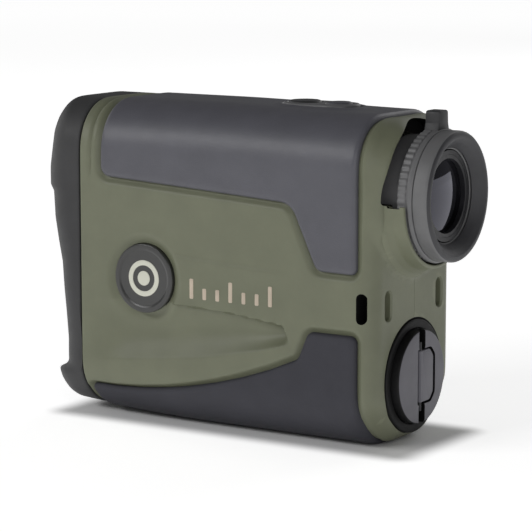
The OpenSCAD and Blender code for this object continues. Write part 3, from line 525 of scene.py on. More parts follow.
def lower_outline():
    """The saddle under the bottom: its edge rises to the rear as a power curve."""
    t = np.linspace(0, 1, 9)
    front = FOOT_LOW[0]
    rise_line = [(front + 57.5 * k, 6.7 + 12.7 * k ** 1.9, 0) for k in t[:-1]]
    rise_line[0] = (front, 6.7, 1.6)
    corners = rise_line + [(20.9, 19.8, 2.6), (23.6, 26.2, 2), (REAR_EDGE, 26.2, 1.6)]
    return [(x, float(s_of_z(z)), r) for x, z, r in corners]


def saddle(right):
    """A right-hand outline and its mirror image as one closed counterclockwise loop of (x, distance)."""
    left = [(x, -d, r) for x, d, r in right]
    loop = rounded([left[0]] + left[1:] + right[::-1], 6)
    return spaced(loop, 0.7)


UPPER_LOOP = saddle(upper_outline())
LOWER_LOOP = saddle(lower_outline())


# ---- painted housing

def line(points, x):
    """Height of a soft line through a few (x, z) points."""
    xs, zs = zip(*points)
    return np.interp(x, xs, zs)


BAND_FOOT = [(-38, 29), (-11.4, 28.8), (2.9, 28.2), (16.9, 26.6), (19, 23)]
BAND_TOP = [(-12.5, 40.3), (-5, 39.7), (18, 38.6)]
CREST = [(-38, 13), (-27.5, 14.8), (-5.2, 17.4), (10.9, 20.6), (19, 23)]


def paint_depth(x, z, upper_d, lower_d):
    """Depth of the painted side below the armour's face: grooves round the armour, band, scoop and badge."""
    depth = np.full(x.shape, PAINT_DROP)
    for d in (upper_d, lower_d):
        depth = depth + GROOVE * (1 - smooth((d - 0.1) / 1.5))
    side = smooth((z - 12) / 4) * (1 - smooth((z - 52) / 4))
    foot, top, crest = line(BAND_FOOT, x), line(BAND_TOP, x), line(CREST, x)
    # raised band
    along = smooth((x + 13) / 1.5) * (1 - smooth((x - 12) / 8))
    band = smooth((z - foot + 0.1) / 0.6) * (1 - smooth((z - top + 0.4) / 1.1))
    depth = depth - BAND * along * band * side
    # scoop under the band, with a crisp upper edge where the band is
    t = np.clip((z - crest) / (foot - crest), 0, 1)
    crisp = smooth((x + 15) / 6)
    shape = np.sin(math.pi * t * (1 - 0.2 * crisp)) * np.where(z > foot, 1 - smooth((z - foot) / 0.45), 1)
    ends = smooth((x + 37) / 14) * (1 - smooth((x - 16.6) / 2.2))
    depth = depth + SCOOP * shape * ends
    # dished surround of the badge
    r = np.hypot(x - BADGE_X, z - BADGE_Z)
    depth = np.where(r < BADGE_R + 2.8, depth + DISH * (1 - smooth((r - BADGE_R) / 2.6)), depth)
    # fine groove beside the front of the upper armour
    groove = np.exp(-(((x - FRONT_EDGE + 2.9) / 0.38) ** 2)) * smooth((z - 54) / 6)
    depth = depth + FRONT_GROOVE * groove
    return depth


def boss_lift(y, z):
    """How far the round eyepiece boss stands behind the rear face."""
    r = np.hypot(y, z - EYE_Z)
    return (BOSS_X - REAR_X) * (1 - smooth((r - BOSS_R) / BOSS_SLOPE))


def housing_half():
    """Vertices and faces of the right half of the painted housing, closed along the parting plane."""
    step = 0.42
    s = np.linspace(0, LENGTH, int(LENGTH / step))
    front = BEZEL_X + 0.25
    r = rear_radius(s)
    flat_end = REAR_X - r.max() - 0.3
    rings = [(front + 0 * s, 0.35 + 0 * s, 0.0), (front + 0.1 + 0 * s, 0.12 + 0 * s, 0.0)]
    rings += [(x + 0 * s, 0 * s, 0.0) for x in np.arange(front + 0.35, flat_end, step)]
    rings += [(flat_end + (REAR_X - r - flat_end) * k / 8, 0 * s, 0.0) for k in range(8)]
    rings += [(REAR_X - r + r * math.sin(a), r * (1 - math.cos(a)), math.sin(a))
              for a in np.linspace(0, math.pi / 2, 17)]
    x = np.array([ring[0] for ring in rings])
    ring_inset = np.array([ring[1] for ring in rings])
    lift = np.array([ring[2] for ring in rings])[:, None]
    z0 = np.interp(s, S, SZ)[None, :] + 0 * x
    flat = np.stack([x.ravel(), (LENGTH - s + 0 * x).ravel()], 1)
    upper_d = signed_distance(flat, UPPER_LOOP).reshape(x.shape)
    flat = np.stack([x.ravel(), (s + 0 * x).ravel()], 1)
    lower_d = signed_distance(flat, LOWER_LOOP).reshape(x.shape)
    depth = paint_depth(x, z0, upper_d, lower_d) * (1 - lift) + PAINT_DROP * lift
    points = body_point(x, s[None, :] + 0 * x, depth + ring_inset)
    points[:, 0, 1] = SEAM
    points[:, -1, 1] = SEAM
    points[..., 1] = np.maximum(points[..., 1], SEAM)
    points[..., 0] += boss_lift(points[..., 1], points[..., 2]) * lift
    rows, columns = x.shape
    verts = points.reshape(-1, 3)
    faces = grid_faces(rows, columns).tolist()
    # rear face: a fine triangle mesh inside the last ring
    last = points[-1][:, 1:]
    seam_z = np.arange(last[0][1] + 0.7, last[-1][1] - 0.5, 0.7)[::-1]
    seam = np.stack([np.full(len(seam_z), SEAM), seam_z], 1)
    rim = np.concatenate([last, seam])
    gy, gz = [g.ravel() for g in np.meshgrid(np.arange(0.6, HALF_W, 0.7), np.arange(1, BODY_H, 0.7))]
    inner = np.stack([gy, gz], 1)
    inner = inner[signed_distance(inner, rim) < -0.4]
    flat_points, triangles = triangulated([rim], inner)
    new = flat_points[len(last):]
    new_x = REAR_X + boss_lift(new[:, 0], new[:, 1])
    base = len(verts)
    verts = np.concatenate([verts, np.column_stack([new_x, new])])
    first_last = (rows - 1) * columns
    index = np.concatenate([np.arange(first_last, first_last + columns), base + np.arange(len(new))])
    faces += index[triangles].tolist()
    # front end and parting plane
    faces.append(list(range(columns)))
    bottom = [i * columns for i in range(rows)]
    top = [i * columns + columns - 1 for i in range(rows)]
    rear_seam = [base + k for k in range(len(seam_z))]
    faces.append(bottom + rear_seam[::-1] + top[::-1])
    return verts, faces


def triangulated(rims, inner):
    """All the points, and triangles of the area inside the first closed outline and outside the others."""
    points = np.concatenate(rims + [inner])
    edges, first = [], 0
    for rim in rims:
        n = len(rim)
        edges += [(first + i, first + (i + 1) % n) for i in range(n)]
        first += n
    _, _, triangles, origin, _, _ = delaunay_2d_cdt([Vector(p) for p in points], edges, [], 0, 1e-6)
    where = np.array([sources[0] if sources else -1 for sources in origin])
    triangles = where[np.array(triangles)]
    triangles = triangles[(triangles >= 0).all(1)]
    centres = points[triangles].mean(1)
    keep = signed_distance(centres, rims[0]) < 0
    for hole in rims[1:]:
        keep &= signed_distance(centres, hole) > 0
    return points, triangles[keep]


def along_x(p):
    """(y, z, depth) to the frame's axes."""
    return np.stack([p[:, 2], p[:, 0], p[:, 1]], 1)


def along_y(p):
    """(x, z, depth) to the frame's axes."""
    return np.stack([p[:, 0], p[:, 2], p[:, 1]], 1)


def along_z(p):
    """(x, y, depth) to the frame's axes."""
    return p


def housing_cutters():
    """Everything that is bored or cut out of the right half."""
    cutters = []
    # cavity: a plain inner body, open at the front, its walls painted black as shade
    xs = [BEZEL_X - 2, 0, REAR_X - 8, REAR_X - 7, REAR_X - 6.6]
    shrink = [3.3, 3.3, 3.3, 3.8, 5.5]
    s = np.linspace(0, LENGTH, 120)
    rings = []
    for x, inset in zip(xs, shrink):
        ring = body_point(np.full(len(s), x), s, inset)
        rings.append(np.concatenate([ring, (ring * [1, -1, 1])[-2:0:-1]]))
    n = len(rings[0])
    faces = grid_faces(len(rings), n, wrap_columns=True).tolist()
    faces += [list(range(n)), list(range((len(rings) - 1) * n, len(rings) * n))]
    cutters.append((np.concatenate(rings), faces, PAINTED_SHADE_BLACK))
    # way through for the eyepiece, and the pocket round its upper half, its walls painted black as shade
    bore = [(0, REAR_X - 9), (13.6, REAR_X - 9), (13.6, BOSS_X - 0.3), (14.1, BOSS_X + 0.2), (14.1, BOSS_X + 4),
            (0, BOSS_X + 4)]
    cutters.append((*lathe_mesh(bore, 0, EYE_Z, 128), GREEN))
    a = np.linspace(0, math.pi, 61)
    arc = [(POCKET_R * math.cos(k), POCKET_R * math.sin(k), 0) for k in a]
    crescent = spaced(rounded(arc + [(-POCKET_R, -0.9, 0.7), (POCKET_R, -0.9, 0.7)]), 0.8) + [0.003, EYE_Z]
    levels = [(REAR_X - POCKET_DEPTH, 0), (BOSS_X - 0.45, 0), (BOSS_X - 0.12, 0.12), (BOSS_X + 0.05, 0.5),
              (BOSS_X + 3, 0.5)]
    cutters.append((*prism_mesh(crescent, levels, along_x), PAINTED_SHADE_BLACK))
    # battery port, its bore painted near-black as shade round the port ring
    port = [(0, REAR_X - 9), (11.7, REAR_X - 9), (11.7, REAR_X - 1.3), (PORT_R + 0.12, REAR_X - 1.3),
            (PORT_R + 0.12, REAR_X - 0.35), (PORT_R + 0.5, REAR_X + 0.05), (PORT_R + 0.5, REAR_X + 3), (0, REAR_X + 3)]
    cutters.append((*lathe_mesh(port, 0, BATTERY_Z, 128), PORT_BLACK_AND_SHADE))
    # lanyard slots
    out_y = HALF_W - 6
    rear_slot = upright(stadium(SLOT_H, 2.8)) + [out_y - 1.4, SLOT_Z]
    cutters.append((*prism_mesh(rear_slot, [(REAR_X - 4.2, 0), (REAR_X - 0.4, 0), (REAR_X + 0.05, 0.35),
                                            (REAR_X + 2, 0.35)], along_x), GREEN))
    # the side slot's walls are painted black as shade; the rear slot's walls stay green
    side_slot = upright(stadium(SLOT_H, 2.1)) + [REAR_X - 2.9, SLOT_Z]
    cutters.append((*prism_mesh(side_slot, [(out_y - 2.6, 0), (HALF_W - 1.1, 0), (HALF_W - 0.3, 0.2),
                                            (HALF_W + 2, 0.2)], along_y), PAINTED_SHADE_BLACK))
    # badge pocket, its walls painted black as shade
    pocket = circle(BADGE_R + 0.12, 96) + [BADGE_X, BADGE_Z]
    cutters.append((*prism_mesh(pocket, [(HALF_W - 1.45, 0), (HALF_W + 1, 0)], along_y), PAINTED_SHADE_BLACK))
    # opening for the button pod, its walls painted black as shade
    pod = stadium(17.6, 9.8) + [POD_X, 0]
    cutters.append((*prism_mesh(pod, [(BODY_H - 8, 0), (BODY_H + 2, 0)], along_z), PAINTED_SHADE_BLACK))
    return cutters


def fairing_half():
    """The right half of the collar that covers the lower side of the diopter ring."""
    bore = RING_R + 0.35
    profile = rounded([(bore, BOSS_X - 1.2, 0), (18.3, BOSS_X - 1.2, 0), (17.5, BOSS_X - 0.2, 0.8),
                       (16.7, BOSS_X + 1.2, 2), (16.1, FAIRING_X - 0.1, 0.45), (bore, FAIRING_X, 0.2)], 4)
    r, x = profile[:, 0][:, None], profile[:, 1][:, None]
    part = np.linspace(0, 1, 70)
    low, high = -math.pi / 2 + SEAM / r, -np.arcsin(1 / r)
    a = low + (high - low) * part
    r = np.minimum(r, FAIRING_HALF_W / np.cos(a))
    verts = np.stack([x + 0 * a, r * np.cos(a), EYE_Z + r * np.sin(a)], 2).reshape(-1, 3)
    n = len(part)
    faces = grid_faces(len(profile), n, wrap_rows=True).tolist()
    faces += [[k * n for k in range(len(profile))][::-1], [k * n + n - 1 for k in range(len(profile))]]
    return verts, faces


def build_housing():
    """The right half, cut to shape, and the left half as its mirror image."""
    right = add("right_housing_shell", *housing_half(), "housing", "housing_paint", GREEN, ("right_housing",))
    cut(right, [(*fairing_half(), GREEN)], operation="UNION")
    cut(right, housing_cutters())
    mesh = right.data.copy()
    mesh.transform(Matrix.Diagonal((1, -1, 1, 1)))
    mesh.flip_normals()
    left = bpy.data.objects.new("left_housing_shell", mesh)
    bpy.context.scene.collection.objects.link(left)
    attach(left, "housing")
    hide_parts("left_housing")


# ---- armour panels

def panel(name, loop, place, holes, slot_name, material, node, bulge=None):
    """A rubber panel from its flat outline: rounded edges, a full face and an underside."""
    turns = np.linspace(0, math.pi / 2, 5)
    ring_levels = [(0.0, PANEL_T), (0.0, PANEL_EDGE)]
    ring_levels += [(PANEL_EDGE * (1 - math.cos(a)), PANEL_EDGE * (1 - math.sin(a))) for a in turns[1:]]
    points, insets, faces, rims, rim_index, spans = [], [], [], [], [], []
    count = 0
    for outline, sign in [(loop, 1)] + [(hole, -1) for hole in holes]:
        n = len(outline)
        for d, inset in ring_levels:
            points.append(offset(outline, d * sign))
            insets.append(np.full(n, inset))
        faces += grid_faces(len(ring_levels), n, first=count, wrap_columns=True).tolist()
        face_first = count + (len(ring_levels) - 1) * n
        rims.append(points[-1])
        rim_index += list(range(face_first, face_first + n))
        spans.append((count, face_first, n))
        count += n * len(ring_levels)
    low, high = loop.min(0), loop.max(0)
    gx, gd = np.meshgrid(np.arange(low[0], high[0], 0.85), np.arange(low[1], high[1], 0.85))
    inner = np.stack([gx.ravel(), gd.ravel()], 1)
    inner = inner[signed_distance(inner, rims[0]) < -0.45]
    for hole in rims[1:]:
        inner = inner[signed_distance(inner, hole) > 0.45]
    all_points = np.concatenate(points + [inner])
    top_count = len(all_points)
    index = np.array(rim_index + list(range(count, top_count)))
    triangles = index[triangulated(rims, inner)[1]]
    faces += triangles.tolist()
    # underside: the same triangles, and the rings, at the full thickness
    inset = np.concatenate(insets + [np.zeros(len(inner)), np.full(top_count, PANEL_T)])
    under = np.concatenate([all_points, all_points])
    faces += (triangles + top_count)[:, ::-1].tolist()
    for first, face_first, n in spans:
        for i in range(n):
            j = (i + 1) % n
            faces.append([first + j, first + i, top_count + face_first + i, top_count + face_first + j])
    if bulge is not None:
        inset = inset - bulge(under) * (inset < 1.2)
    verts = place(under[:, 0], under[:, 1], inset)
    return add(name, verts, faces, "housing", slot_name, material, (node,), sharp=50)


def from_top(x, d, inset):
    """A point d round the body from the top's middle."""
    return round_body(x, LENGTH - np.abs(d), d, inset)


def from_bottom(x, d, inset):
    """A point d round the body from the bottom's middle."""
    return round_body(x, np.abs(d), d, inset)


def round_body(x, s, d, inset):
    """A point on the side of the body that d has the sign of, drawn in at the rear edge."""
    p = body_point(x, s, inset + rear_inset(x, s))
    p[:, 1] *= np.sign(d) + (d == 0)
    return p


def build_armour():
    pod = stadium(POD_HIGH[0] - POD_LOW[0] - 0.7, POD_HIGH[1] - POD_LOW[1] - 0.7, 16) + [POD_X, 0]
    pod = spaced(pod, 0.7)

    def collar(p):
        return 0.5 * (1 - smooth((signed_distance(p, pod) - 0.2) / 2.4))

    panel("upper_armour_panel", UPPER_LOOP, from_top, [pod], "upper_rubber", UPPER_RUBBER, "upper_armour",
          bulge=collar)
    # the lower panel takes the darker rubber as painted shade
    panel("lower_armour_panel", LOWER_LOOP, from_bottom, [], "lower_rubber", LOWER_RUBBER_PAINTED_SHADE, "lower_armour")


# ---- front bezel

RIM_LINE = [(0, -47.2), (2.5, -48.4), (5.5, -49), (7.8, -49.1), (9, -48.5), (10, -47), (11.4, -46.2), (18, -46.1),
            (24, -46.6), (30, -47.2), (36, -47.6), (41, -48.6), (46.5, -49.55), (52.8, -49.9), (53.8, -50.8),
            (58, -50.8), (62, -50.2), (67, -49.6), (70.5, -48.8), (BODY_H, -47.6)]


def rim_x(z):
    """Front edge of the bezel at height z, softened."""
    zs = np.linspace(0, BODY_H, 300)
    line_x = np.interp(zs, *zip(*RIM_LINE))
    kernel = np.hanning(9)
    kernel /= kernel.sum()
    line_x = np.convolve(np.pad(line_x, 4, mode="edge"), kernel, "valid")
    return np.interp(z, zs, line_x)


def build_bezel():
    s = np.linspace(0, LENGTH, 260)
    s = np.concatenate([s, s[-2:0:-1]])
    side = np.concatenate([np.ones(260), -np.ones(len(s) - 260)])
    z0 = np.interp(s, S, SZ)
    front = rim_x(z0)
    back = BEZEL_X - 0.1
    r = 2.6 + 5.4 * np.interp(s, S, SNY) ** 2
    path = [(back, 3.4), (back, 0.9), (back, 0.62), (back - 0.12, 0.4), (back - 0.35, PAINT_DROP)]
    path += [(back - 0.35 + (front + r - back + 0.35) * k / 8, PAINT_DROP) for k in range(1, 9)]
    turn = np.minimum(np.arccos(1 - 2.45 / r), math.radians(76))
    path += [(front + r - r * np.sin(turn * k / 12), PAINT_DROP + r * (1 - np.cos(turn * k / 12)))
             for k in range(1, 13)]
    lip, lip_inset = path[-1]
    path += [(lip + 0.1, lip_inset * 0.6 + 3.2 * 0.4), (lip + 0.35, 3.25), (lip + 0.8, 3.4),
             (PANEL_X + 1.9 + 0 * s, 3.4), (back - 0.5, 3.4)]
    points = []
    for x, inset in path:
        p = body_point(x + 0 * s, s, inset)
        p[:, 1] *= side
        points.append(p)
    verts = np.concatenate(points)
    faces = grid_faces(len(path), len(s), wrap_rows=True, wrap_columns=True)
    add("front_bezel_shell", verts, faces, "housing", "bezel_plastic", BEZEL, ("front_bezel",), sharp=40)


# ---- eyepiece

def lathe(name, corners, z, body, slot_name, material, replaces=(), segments=160, steps=5, sharp=40):
    """A turned piece from (radius, x, corner radius) corners."""
    profile = rounded(corners, steps)
    return add(name, *lathe_mesh(profile, 0, z, segments), body, slot_name, material, replaces, sharp)


def lens(name, r, x0, x1, front, back, z, body, slot_name, material, node):
    """A lens with two smooth domed or hollow faces."""
    steps = 24
    q = np.linspace(0.002, r, steps)

    def bulge(sag):
        ball = (r * r + sag * sag) / (2 * abs(sag))
        return math.copysign(1, sag) * (np.sqrt(ball ** 2 - q ** 2) - ball + abs(sag))

    first = np.stack([q, x0 - bulge(front)], 1)
    last = np.stack([q, x1 + bulge(back)], 1)[::-1]
    profile = np.concatenate([first, last])
    return add(name, *lathe_mesh(profile, 0, z, 96), body, slot_name, material, (node,), sharp=50)


def build_eyepiece():
    ring_x = box_mm("diopter_ring")[0][0]
    grip_x = BOSS_X + 1.2
    # the ring: a ribbed grip and a smooth chamfered collar behind it
    ribs = 60
    segments = ribs * 6
    corners = [(11.9, ring_x, 0.2), (13.2, ring_x, 0.2), (13.2, grip_x, 0.15), (RING_R - 0.9, grip_x, 0.25),
               (RING_R - 0.1, grip_x + 0.5, 0.3), (RING_R - 0.1, grip_x + 2.3, 0.2), (RING_R - 0.45, grip_x + 2.5, 0.1),
               (RING_R - 0.45, grip_x + 2.75, 0.1), (RING_R, grip_x + 3.0, 0.2), (RING_R - 0.35, CUP_X0 - 0.1, 0.2),
               (12.7, CUP_X0 - 0.1, 0.1), (12.7, CUP_X0 + 0.9, 0.1), (10.35, CUP_X0 + 0.9, 0.2),
               (10.35, CUP_X0 - 1.25, 0.1), (11.8, CUP_X0 - 1.25, 0.1), (11.8, CUP_X0 - 2.2, 0.1),
               (12.6, CUP_X0 - 2.2, 0.1), (12.6, CUP_X0 - 2.8, 0.1), (11.9, CUP_X0 - 2.8, 0.1)]
    profile = rounded(corners, 4)
    verts, faces = lathe_mesh(profile, 0, 0, segments)
    angle = np.arctan2(verts[:, 2], verts[:, 1])
    radius = np.hypot(verts[:, 1], verts[:, 2])
    wave = 0.5 - 0.5 * np.cos(angle * ribs)
    on_grip = smooth((radius - RING_R + 0.55) / 0.3) * (verts[:, 0] < grip_x + 2.4)
    scale = 1 - 0.28 * wave * on_grip / radius
    verts[:, 1] *= scale
    verts[:, 2] *= scale
    verts[:, 2] += EYE_Z
    lug = lug_mesh(grip_x)
    tones = [0] * len(faces) + [1] * len(lug[1])
    add("diopter_ring_turned", *joined([(verts, faces), lug]), "diopter", "ring_plastic", [RING_GREY, BUTTON],
        ("diopter_ring",), sharp=38, face_materials=tones)
    # the eyecup: a soft rolled rim over a shallow cone, its outer side painted lighter than the rim and the inside as a
    # painted highlight
    corners = [(12.85, CUP_X0, 0.1), (CUP_R, CUP_X0, 0.15), (CUP_R, CUP_X1, 1.0), (12.95, CUP_X1, 0.5),
               (11.9, CUP_X1 - 1, 0.6), (10.45, CUP_X0 + 1.1, 0.15), (12.85, CUP_X0 + 1.1, 0.1)]
    profile = rounded(corners, 5)
    verts, faces = lathe_mesh(profile, 0, EYE_Z, 160)
    outside = (profile[:, 0] > CUP_R - 0.3) & (profile[:, 1] < CUP_X1 - 0.5)
    add("eyecup_soft", verts, faces, "diopter", "eyecup_rubber", [CUP_RUBBER, CUP_SIDE_PAINTED_LIT], ("eyecup",), sharp=40,
        face_materials=np.repeat(outside.astype(int), 160))
    low, high = box_mm("eye_lens")
    lens("eye_lens_polished", high[1], low[0] + 0.9, high[0] - 1.0, 0.9, 1.0, EYE_Z, "eye_cell", "coated_glass",
         EYE_GLASS, "eye_lens")


def lug_mesh(grip_x):
    """The square zero mark on the diopter ring, with rounded edges and a foot that blends into the ring."""
    top = box_mm("diopter_ring")[1][2]
    half = 2.2
    outline = rounded([(-half - 0.5, 70.2, 0), (half + 0.5, 70.2, 0), (half, 72, 0.6), (half - 0.15, top, 0.7),
                       (-half + 0.15, top, 0.7), (-half, 72, 0.6)], 5)
    x0, x1 = grip_x + 0.2, CUP_X0 - 0.2
    levels = [(x0, -0.35), (x0 + 0.12, -0.1), (x0 + 0.4, 0), (x1 - 0.4, 0), (x1 - 0.12, -0.1), (x1, -0.35)]
    return prism_mesh(outline, levels, along_x)


# ---- battery port and cap

def build_battery_end():
    corners = [(9.5, REAR_X - 3.2, 0.1), (PORT_R - 1.2, REAR_X - 3.2, 0.1), (PORT_R - 1.2, REAR_X - 1.25, 0.05),
               (PORT_R, REAR_X - 1.25, 0.05), (PORT_R, REAR_X + 0.3, 0.3), (CAP_R + 0.25, REAR_X + 0.3, 0.25),
               (CAP_R + 0.25, REAR_X - 0.6, 0.05), (9.5, REAR_X - 0.6, 0.05)]
    lathe("battery_port_ring", corners, BATTERY_Z, "housing", "port_plastic", PORT_BLACK_AND_SHADE, ("battery_port",))
    corners = [(0.01, REAR_X - 2.6, 0), (7.4, REAR_X - 2.6, 0.05), (7.4, REAR_X - 3.2, 0.05), (9.3, REAR_X - 3.2, 0.2),
               (9.3, REAR_X - 0.5, 0.05), (CAP_R, REAR_X - 0.5, 0.2), (CAP_R, CAP_X1 - 0.05, 0.4), (0.01, CAP_X1, 0)]
    profile = rounded(corners, 6)
    verts, faces = lathe_mesh(profile, 0, BATTERY_Z, 160)
    # the cap's outer wall takes the port's near-black as painted shade in the gap round the cap; its face stays grey
    shade_wall = (profile[:, 0] > CAP_R - 0.16) & (profile[:, 1] < CAP_X1 - 0.1)
    cap = add("battery_cap_turned", verts, faces, "cap", "cap_plastic", [CAP_GREY, PORT_BLACK_AND_SHADE], ("battery_cap",),
              face_materials=np.repeat(shade_wall.astype(int), 160))
    # the tab's recess and the coin notches have walls painted black as shade
    recess = rounded([(-1.85, -6.2, 0.3), (4.2, -6.2, 1.6), (5.95, -4.3, 1.6), (5.95, 4.3, 1.6), (4.2, 6.2, 1.6),
                      (-1.85, 6.2, 0.3)], 5) + [0, BATTERY_Z]
    deep = CAP_X1 - 1.45
    cutters = [(*prism_mesh(recess, [(deep, 0), (CAP_X1 - 0.15, 0), (CAP_X1 + 0.05, 0.2), (CAP_X1 + 2, 0.2)], along_x),
                PAINTED_SHADE_BLACK)]
    for side in (-1, 1):
        notch = upright(stadium(5.4, 2.6)) + [0, BATTERY_Z + side * 8.4]
        cutters.append((*prism_mesh(notch, [(CAP_X1 - 1.4, 0), (CAP_X1 - 0.2, 0), (CAP_X1 + 0.05, 0.25),
                                            (CAP_X1 + 2, 0.25)], along_x), PAINTED_SHADE_BLACK))
    cut(cap, cutters)
    # folding tab
    tab = rounded([(0.1, -5.9, 0.3), (3.9, -5.9, 1.6), (5.55, -4.1, 1.6), (5.55, 4.1, 1.6), (3.9, 5.9, 1.6),
                   (0.1, 5.9, 0.3)], 5) + [0, BATTERY_Z]
    x0, x1 = CAP_X1 - 1.3, CAP_X1 - 0.15
    plate = prism_mesh(tab, [(x0, -0.2), (x0 + 0.2, 0), (x1 - 0.25, 0), (x1 - 0.07, -0.08), (x1, -0.28)], along_x)
    pin_x = CAP_X1 - 0.75
    a = np.linspace(0, 2 * math.pi, 32, endpoint=False)
    rings = [(-5.8, 0.55), (-5.8, 0.6), (-5.75, 0.65), (5.75, 0.65), (5.8, 0.6), (5.8, 0.55)]
    barrel = np.concatenate([np.stack([pin_x + r * np.cos(a), r * np.sin(a), BATTERY_Z + z + 0 * a], 1)
                             for z, r in rings])
    barrel_faces = grid_faces(len(rings), 32, wrap_rows=True, wrap_columns=True)
    add("cap_tab_moulded", *joined([plate, (barrel, barrel_faces)]), "tab", "tab_plastic", CAP_GREY, ("cap_tab",))


# ---- buttons

def build_buttons():
    foot, rim = POD_LOW[2], POD_HIGH[2]
    pod_loop = spaced(stadium(18.4, 10.6, 24) + [POD_X, 0], 0.6)
    levels = [(foot, 0.5), (foot + 0.85, 0.5), (foot + 0.86, -0.5), (BODY_H - 1.2, -0.5), (BODY_H - 1.19, -0.1),
              (rim - 0.45, -0.1), (rim - 0.2, -0.2), (rim - 0.05, -0.42), (rim, -0.75)]
    pod = add("button_bezel_pod", *prism_mesh(pod_loop, levels, along_z), "housing", "bezel_plastic", POD_BLACK,
              ("button_bezel",))
    cutters = []
    for node, slot, material in (("fire_button", "button_rubber", BUTTON), ("mode_button", "mode_rubber", MODE)):
        low, high = box_mm(node)
        x, r = (low[0] + high[0]) / 2, (high[0] - low[0]) / 2
        hole = circle(r + 0.14, 64) + [x, 0]
        cutters.append((*prism_mesh(hole, [(BODY_H - 2.4, 0), (rim - 0.3, 0), (rim + 0.02, 0.25), (rim + 2, 0.25)],
                                    along_z), BLACK))
        stem = circle(1.4, 32) + [x, 0]
        cutters.append((*prism_mesh(stem, [(foot - 1, 0), (BODY_H, 0)], along_z), BLACK))
        profile = rounded([(0.01, low[2], 0), (1.8, low[2], 0.1), (1.8, low[2] + 0.6, 0.1), (1.25, low[2] + 0.7, 0.05),
                           (1.25, BODY_H - 0.8, 0), (r, BODY_H - 0.8, 0.15), (r, high[2] - 0.1, 0.75),
                           (0.01, high[2], 0)], 6)
        # a shallow dish for the fingertip
        profile[:, 1] -= 0.3 * np.exp(-(profile[:, 0] / (0.5 * r)) ** 2) * (profile[:, 1] > high[2] - 0.4)
        verts, faces = lathe_mesh(profile, x, 0, 72)
        add(node + "_dome", verts[:, [1, 2, 0]], faces, node, slot, material, (node,))
    cut(pod, cutters)


def build_springs():
    """The coil springs under the buttons, wound to fill their CAD boxes."""
    wire, turns, steps, sides = 0.16, 2.5, 36, 12
    for word in ("fire", "mode"):
        node, joint = word + "_spring", word + "_press"
        low, high = box_mm(node)
        x, radius = (low[0] + high[0]) / 2, high[1] - wire
        a = np.linspace(0, 2 * math.pi * turns, int(turns * steps) + 1)[:, None]
        b = np.linspace(0, 2 * math.pi, sides, endpoint=False)
        out = radius + wire * np.cos(b)
        z = low[2] + wire + (high[2] - low[2] - 2 * wire) * a / a.max() + wire * np.sin(b)
        verts = np.stack([x + out * np.cos(a), out * np.sin(a), z], 2).reshape(-1, 3)
        faces = grid_faces(len(a), sides, wrap_columns=True).tolist()
        faces += [list(range(sides))[::-1], list(range(len(verts) - sides, len(verts)))]
        spring = add(node + "_wound", verts, faces, "housing", "steel", STEEL, (node,), sharp=60)
        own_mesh(spring)


# ---- badges and marks

def badge_disc(side, corners):
    """A disc turned about the badge's axis, from (radius, outward distance, corner radius) corners."""
    verts, faces = lathe_mesh(rounded(corners, 5), BADGE_X, BADGE_Z, 96)
    return verts[:, [1, 0, 2]] * [1, side, 1], faces


def build_badges():
    face = HALF_W - 0.42
    low, high = face - 0.2, face + 0.12
    marks = []
    for side, word in ((1, "right"), (-1, "left")):
        corners = [(0.01, face - 1.0, 0), (BADGE_R, face - 1.0, 0.1), (BADGE_R, face + 0.2, 0.35),
                   (BADGE_R - 1.1, face + 0.2, 0.3), (BADGE_R - 1.6, face, 0.4), (0.01, face, 0)]
        add("badge_disc_" + word, *badge_disc(side, corners), "housing", "badge_black", BADGE, ("badge_" + word,))
        ring = [(3.0, low, 0), (4.2, low, 0), (4.2, high, 0.1), (3.0, high, 0.1)]
        dot = [(0.01, low, 0), (1.7, low, 0), (1.7, high, 0.1), (0.01, high, 0)]
        marks += [badge_disc(side, corners) for corners in (ring, dot)]
    add("badge_marks_inlaid", *joined(marks), "housing", "badge_cream", CREAM, ("badge_marks",))


def build_range_marks():
    """A plain scale of short and long bars that follows the CAD one, standing on the band."""
    node = frame["nodes"]["range_marks"]
    co = np.array([v.co for v in node.data.vertices]) / MM
    co = co[co[:, 1] > 0]
    lefts = np.unique(np.round(co[:, 0], 2))
    bars = []
    for x0, x1 in zip(lefts[::2], lefts[1::2]):
        own = co[(co[:, 0] > x0 - 0.05) & (co[:, 0] < x1 + 0.05)]
        z0, z1 = own[:, 2].min(), own[:, 2].max()
        outline = rounded([(x0, z0, 0.25), (x1, z0, 0.25), (x1, z1, 0.25), (x0, z1, 0.25)], 4)
        outline = spaced(outline, 0.5)
        for side in (1, -1):
            out = body_point(outline[:, 0], s_of_z(outline[:, 1]), 0)[:, 1]
            rings = []
            for inset, shrink in ((0.5, 0), (0.03, 0), (0.0, 0.06)):
                p = offset(outline, shrink)
                rings.append(np.column_stack([p[:, 0], side * (out - inset), p[:, 1]]))
            n = len(outline)
            faces = grid_faces(3, n, wrap_columns=True).tolist()
            faces += [list(range(n))[::-1], list(range(2 * n, 3 * n))]
            bars.append((np.concatenate(rings), faces))
    add("range_marks_printed", *joined(bars), "housing", "mark_print", MARKS, ("range_marks",))


# ---- front optics

def build_front():
    for node, name, sags, slot, material in (
            ("objective_crown_lens", "objective_crown_polished", (1.3, 1.1), "coated_glass", FRONT_GLASS),
            ("receiver_lens", "receiver_polished", (1.3, 0.4), "laser_glass", LASER_GLASS),
            ("emitter_lens", "emitter_polished", (0.5, 0.4), "laser_glass", LASER_GLASS)):
        low, high = box_mm(node)
        z = EYE_Z if slot == "coated_glass" else (low[2] + high[2]) / 2
        lens(name, high[1], low[0] + sags[0], high[0] - sags[1], *sags, z, "housing", slot, material, node)


# ---- CAD pieces that stay

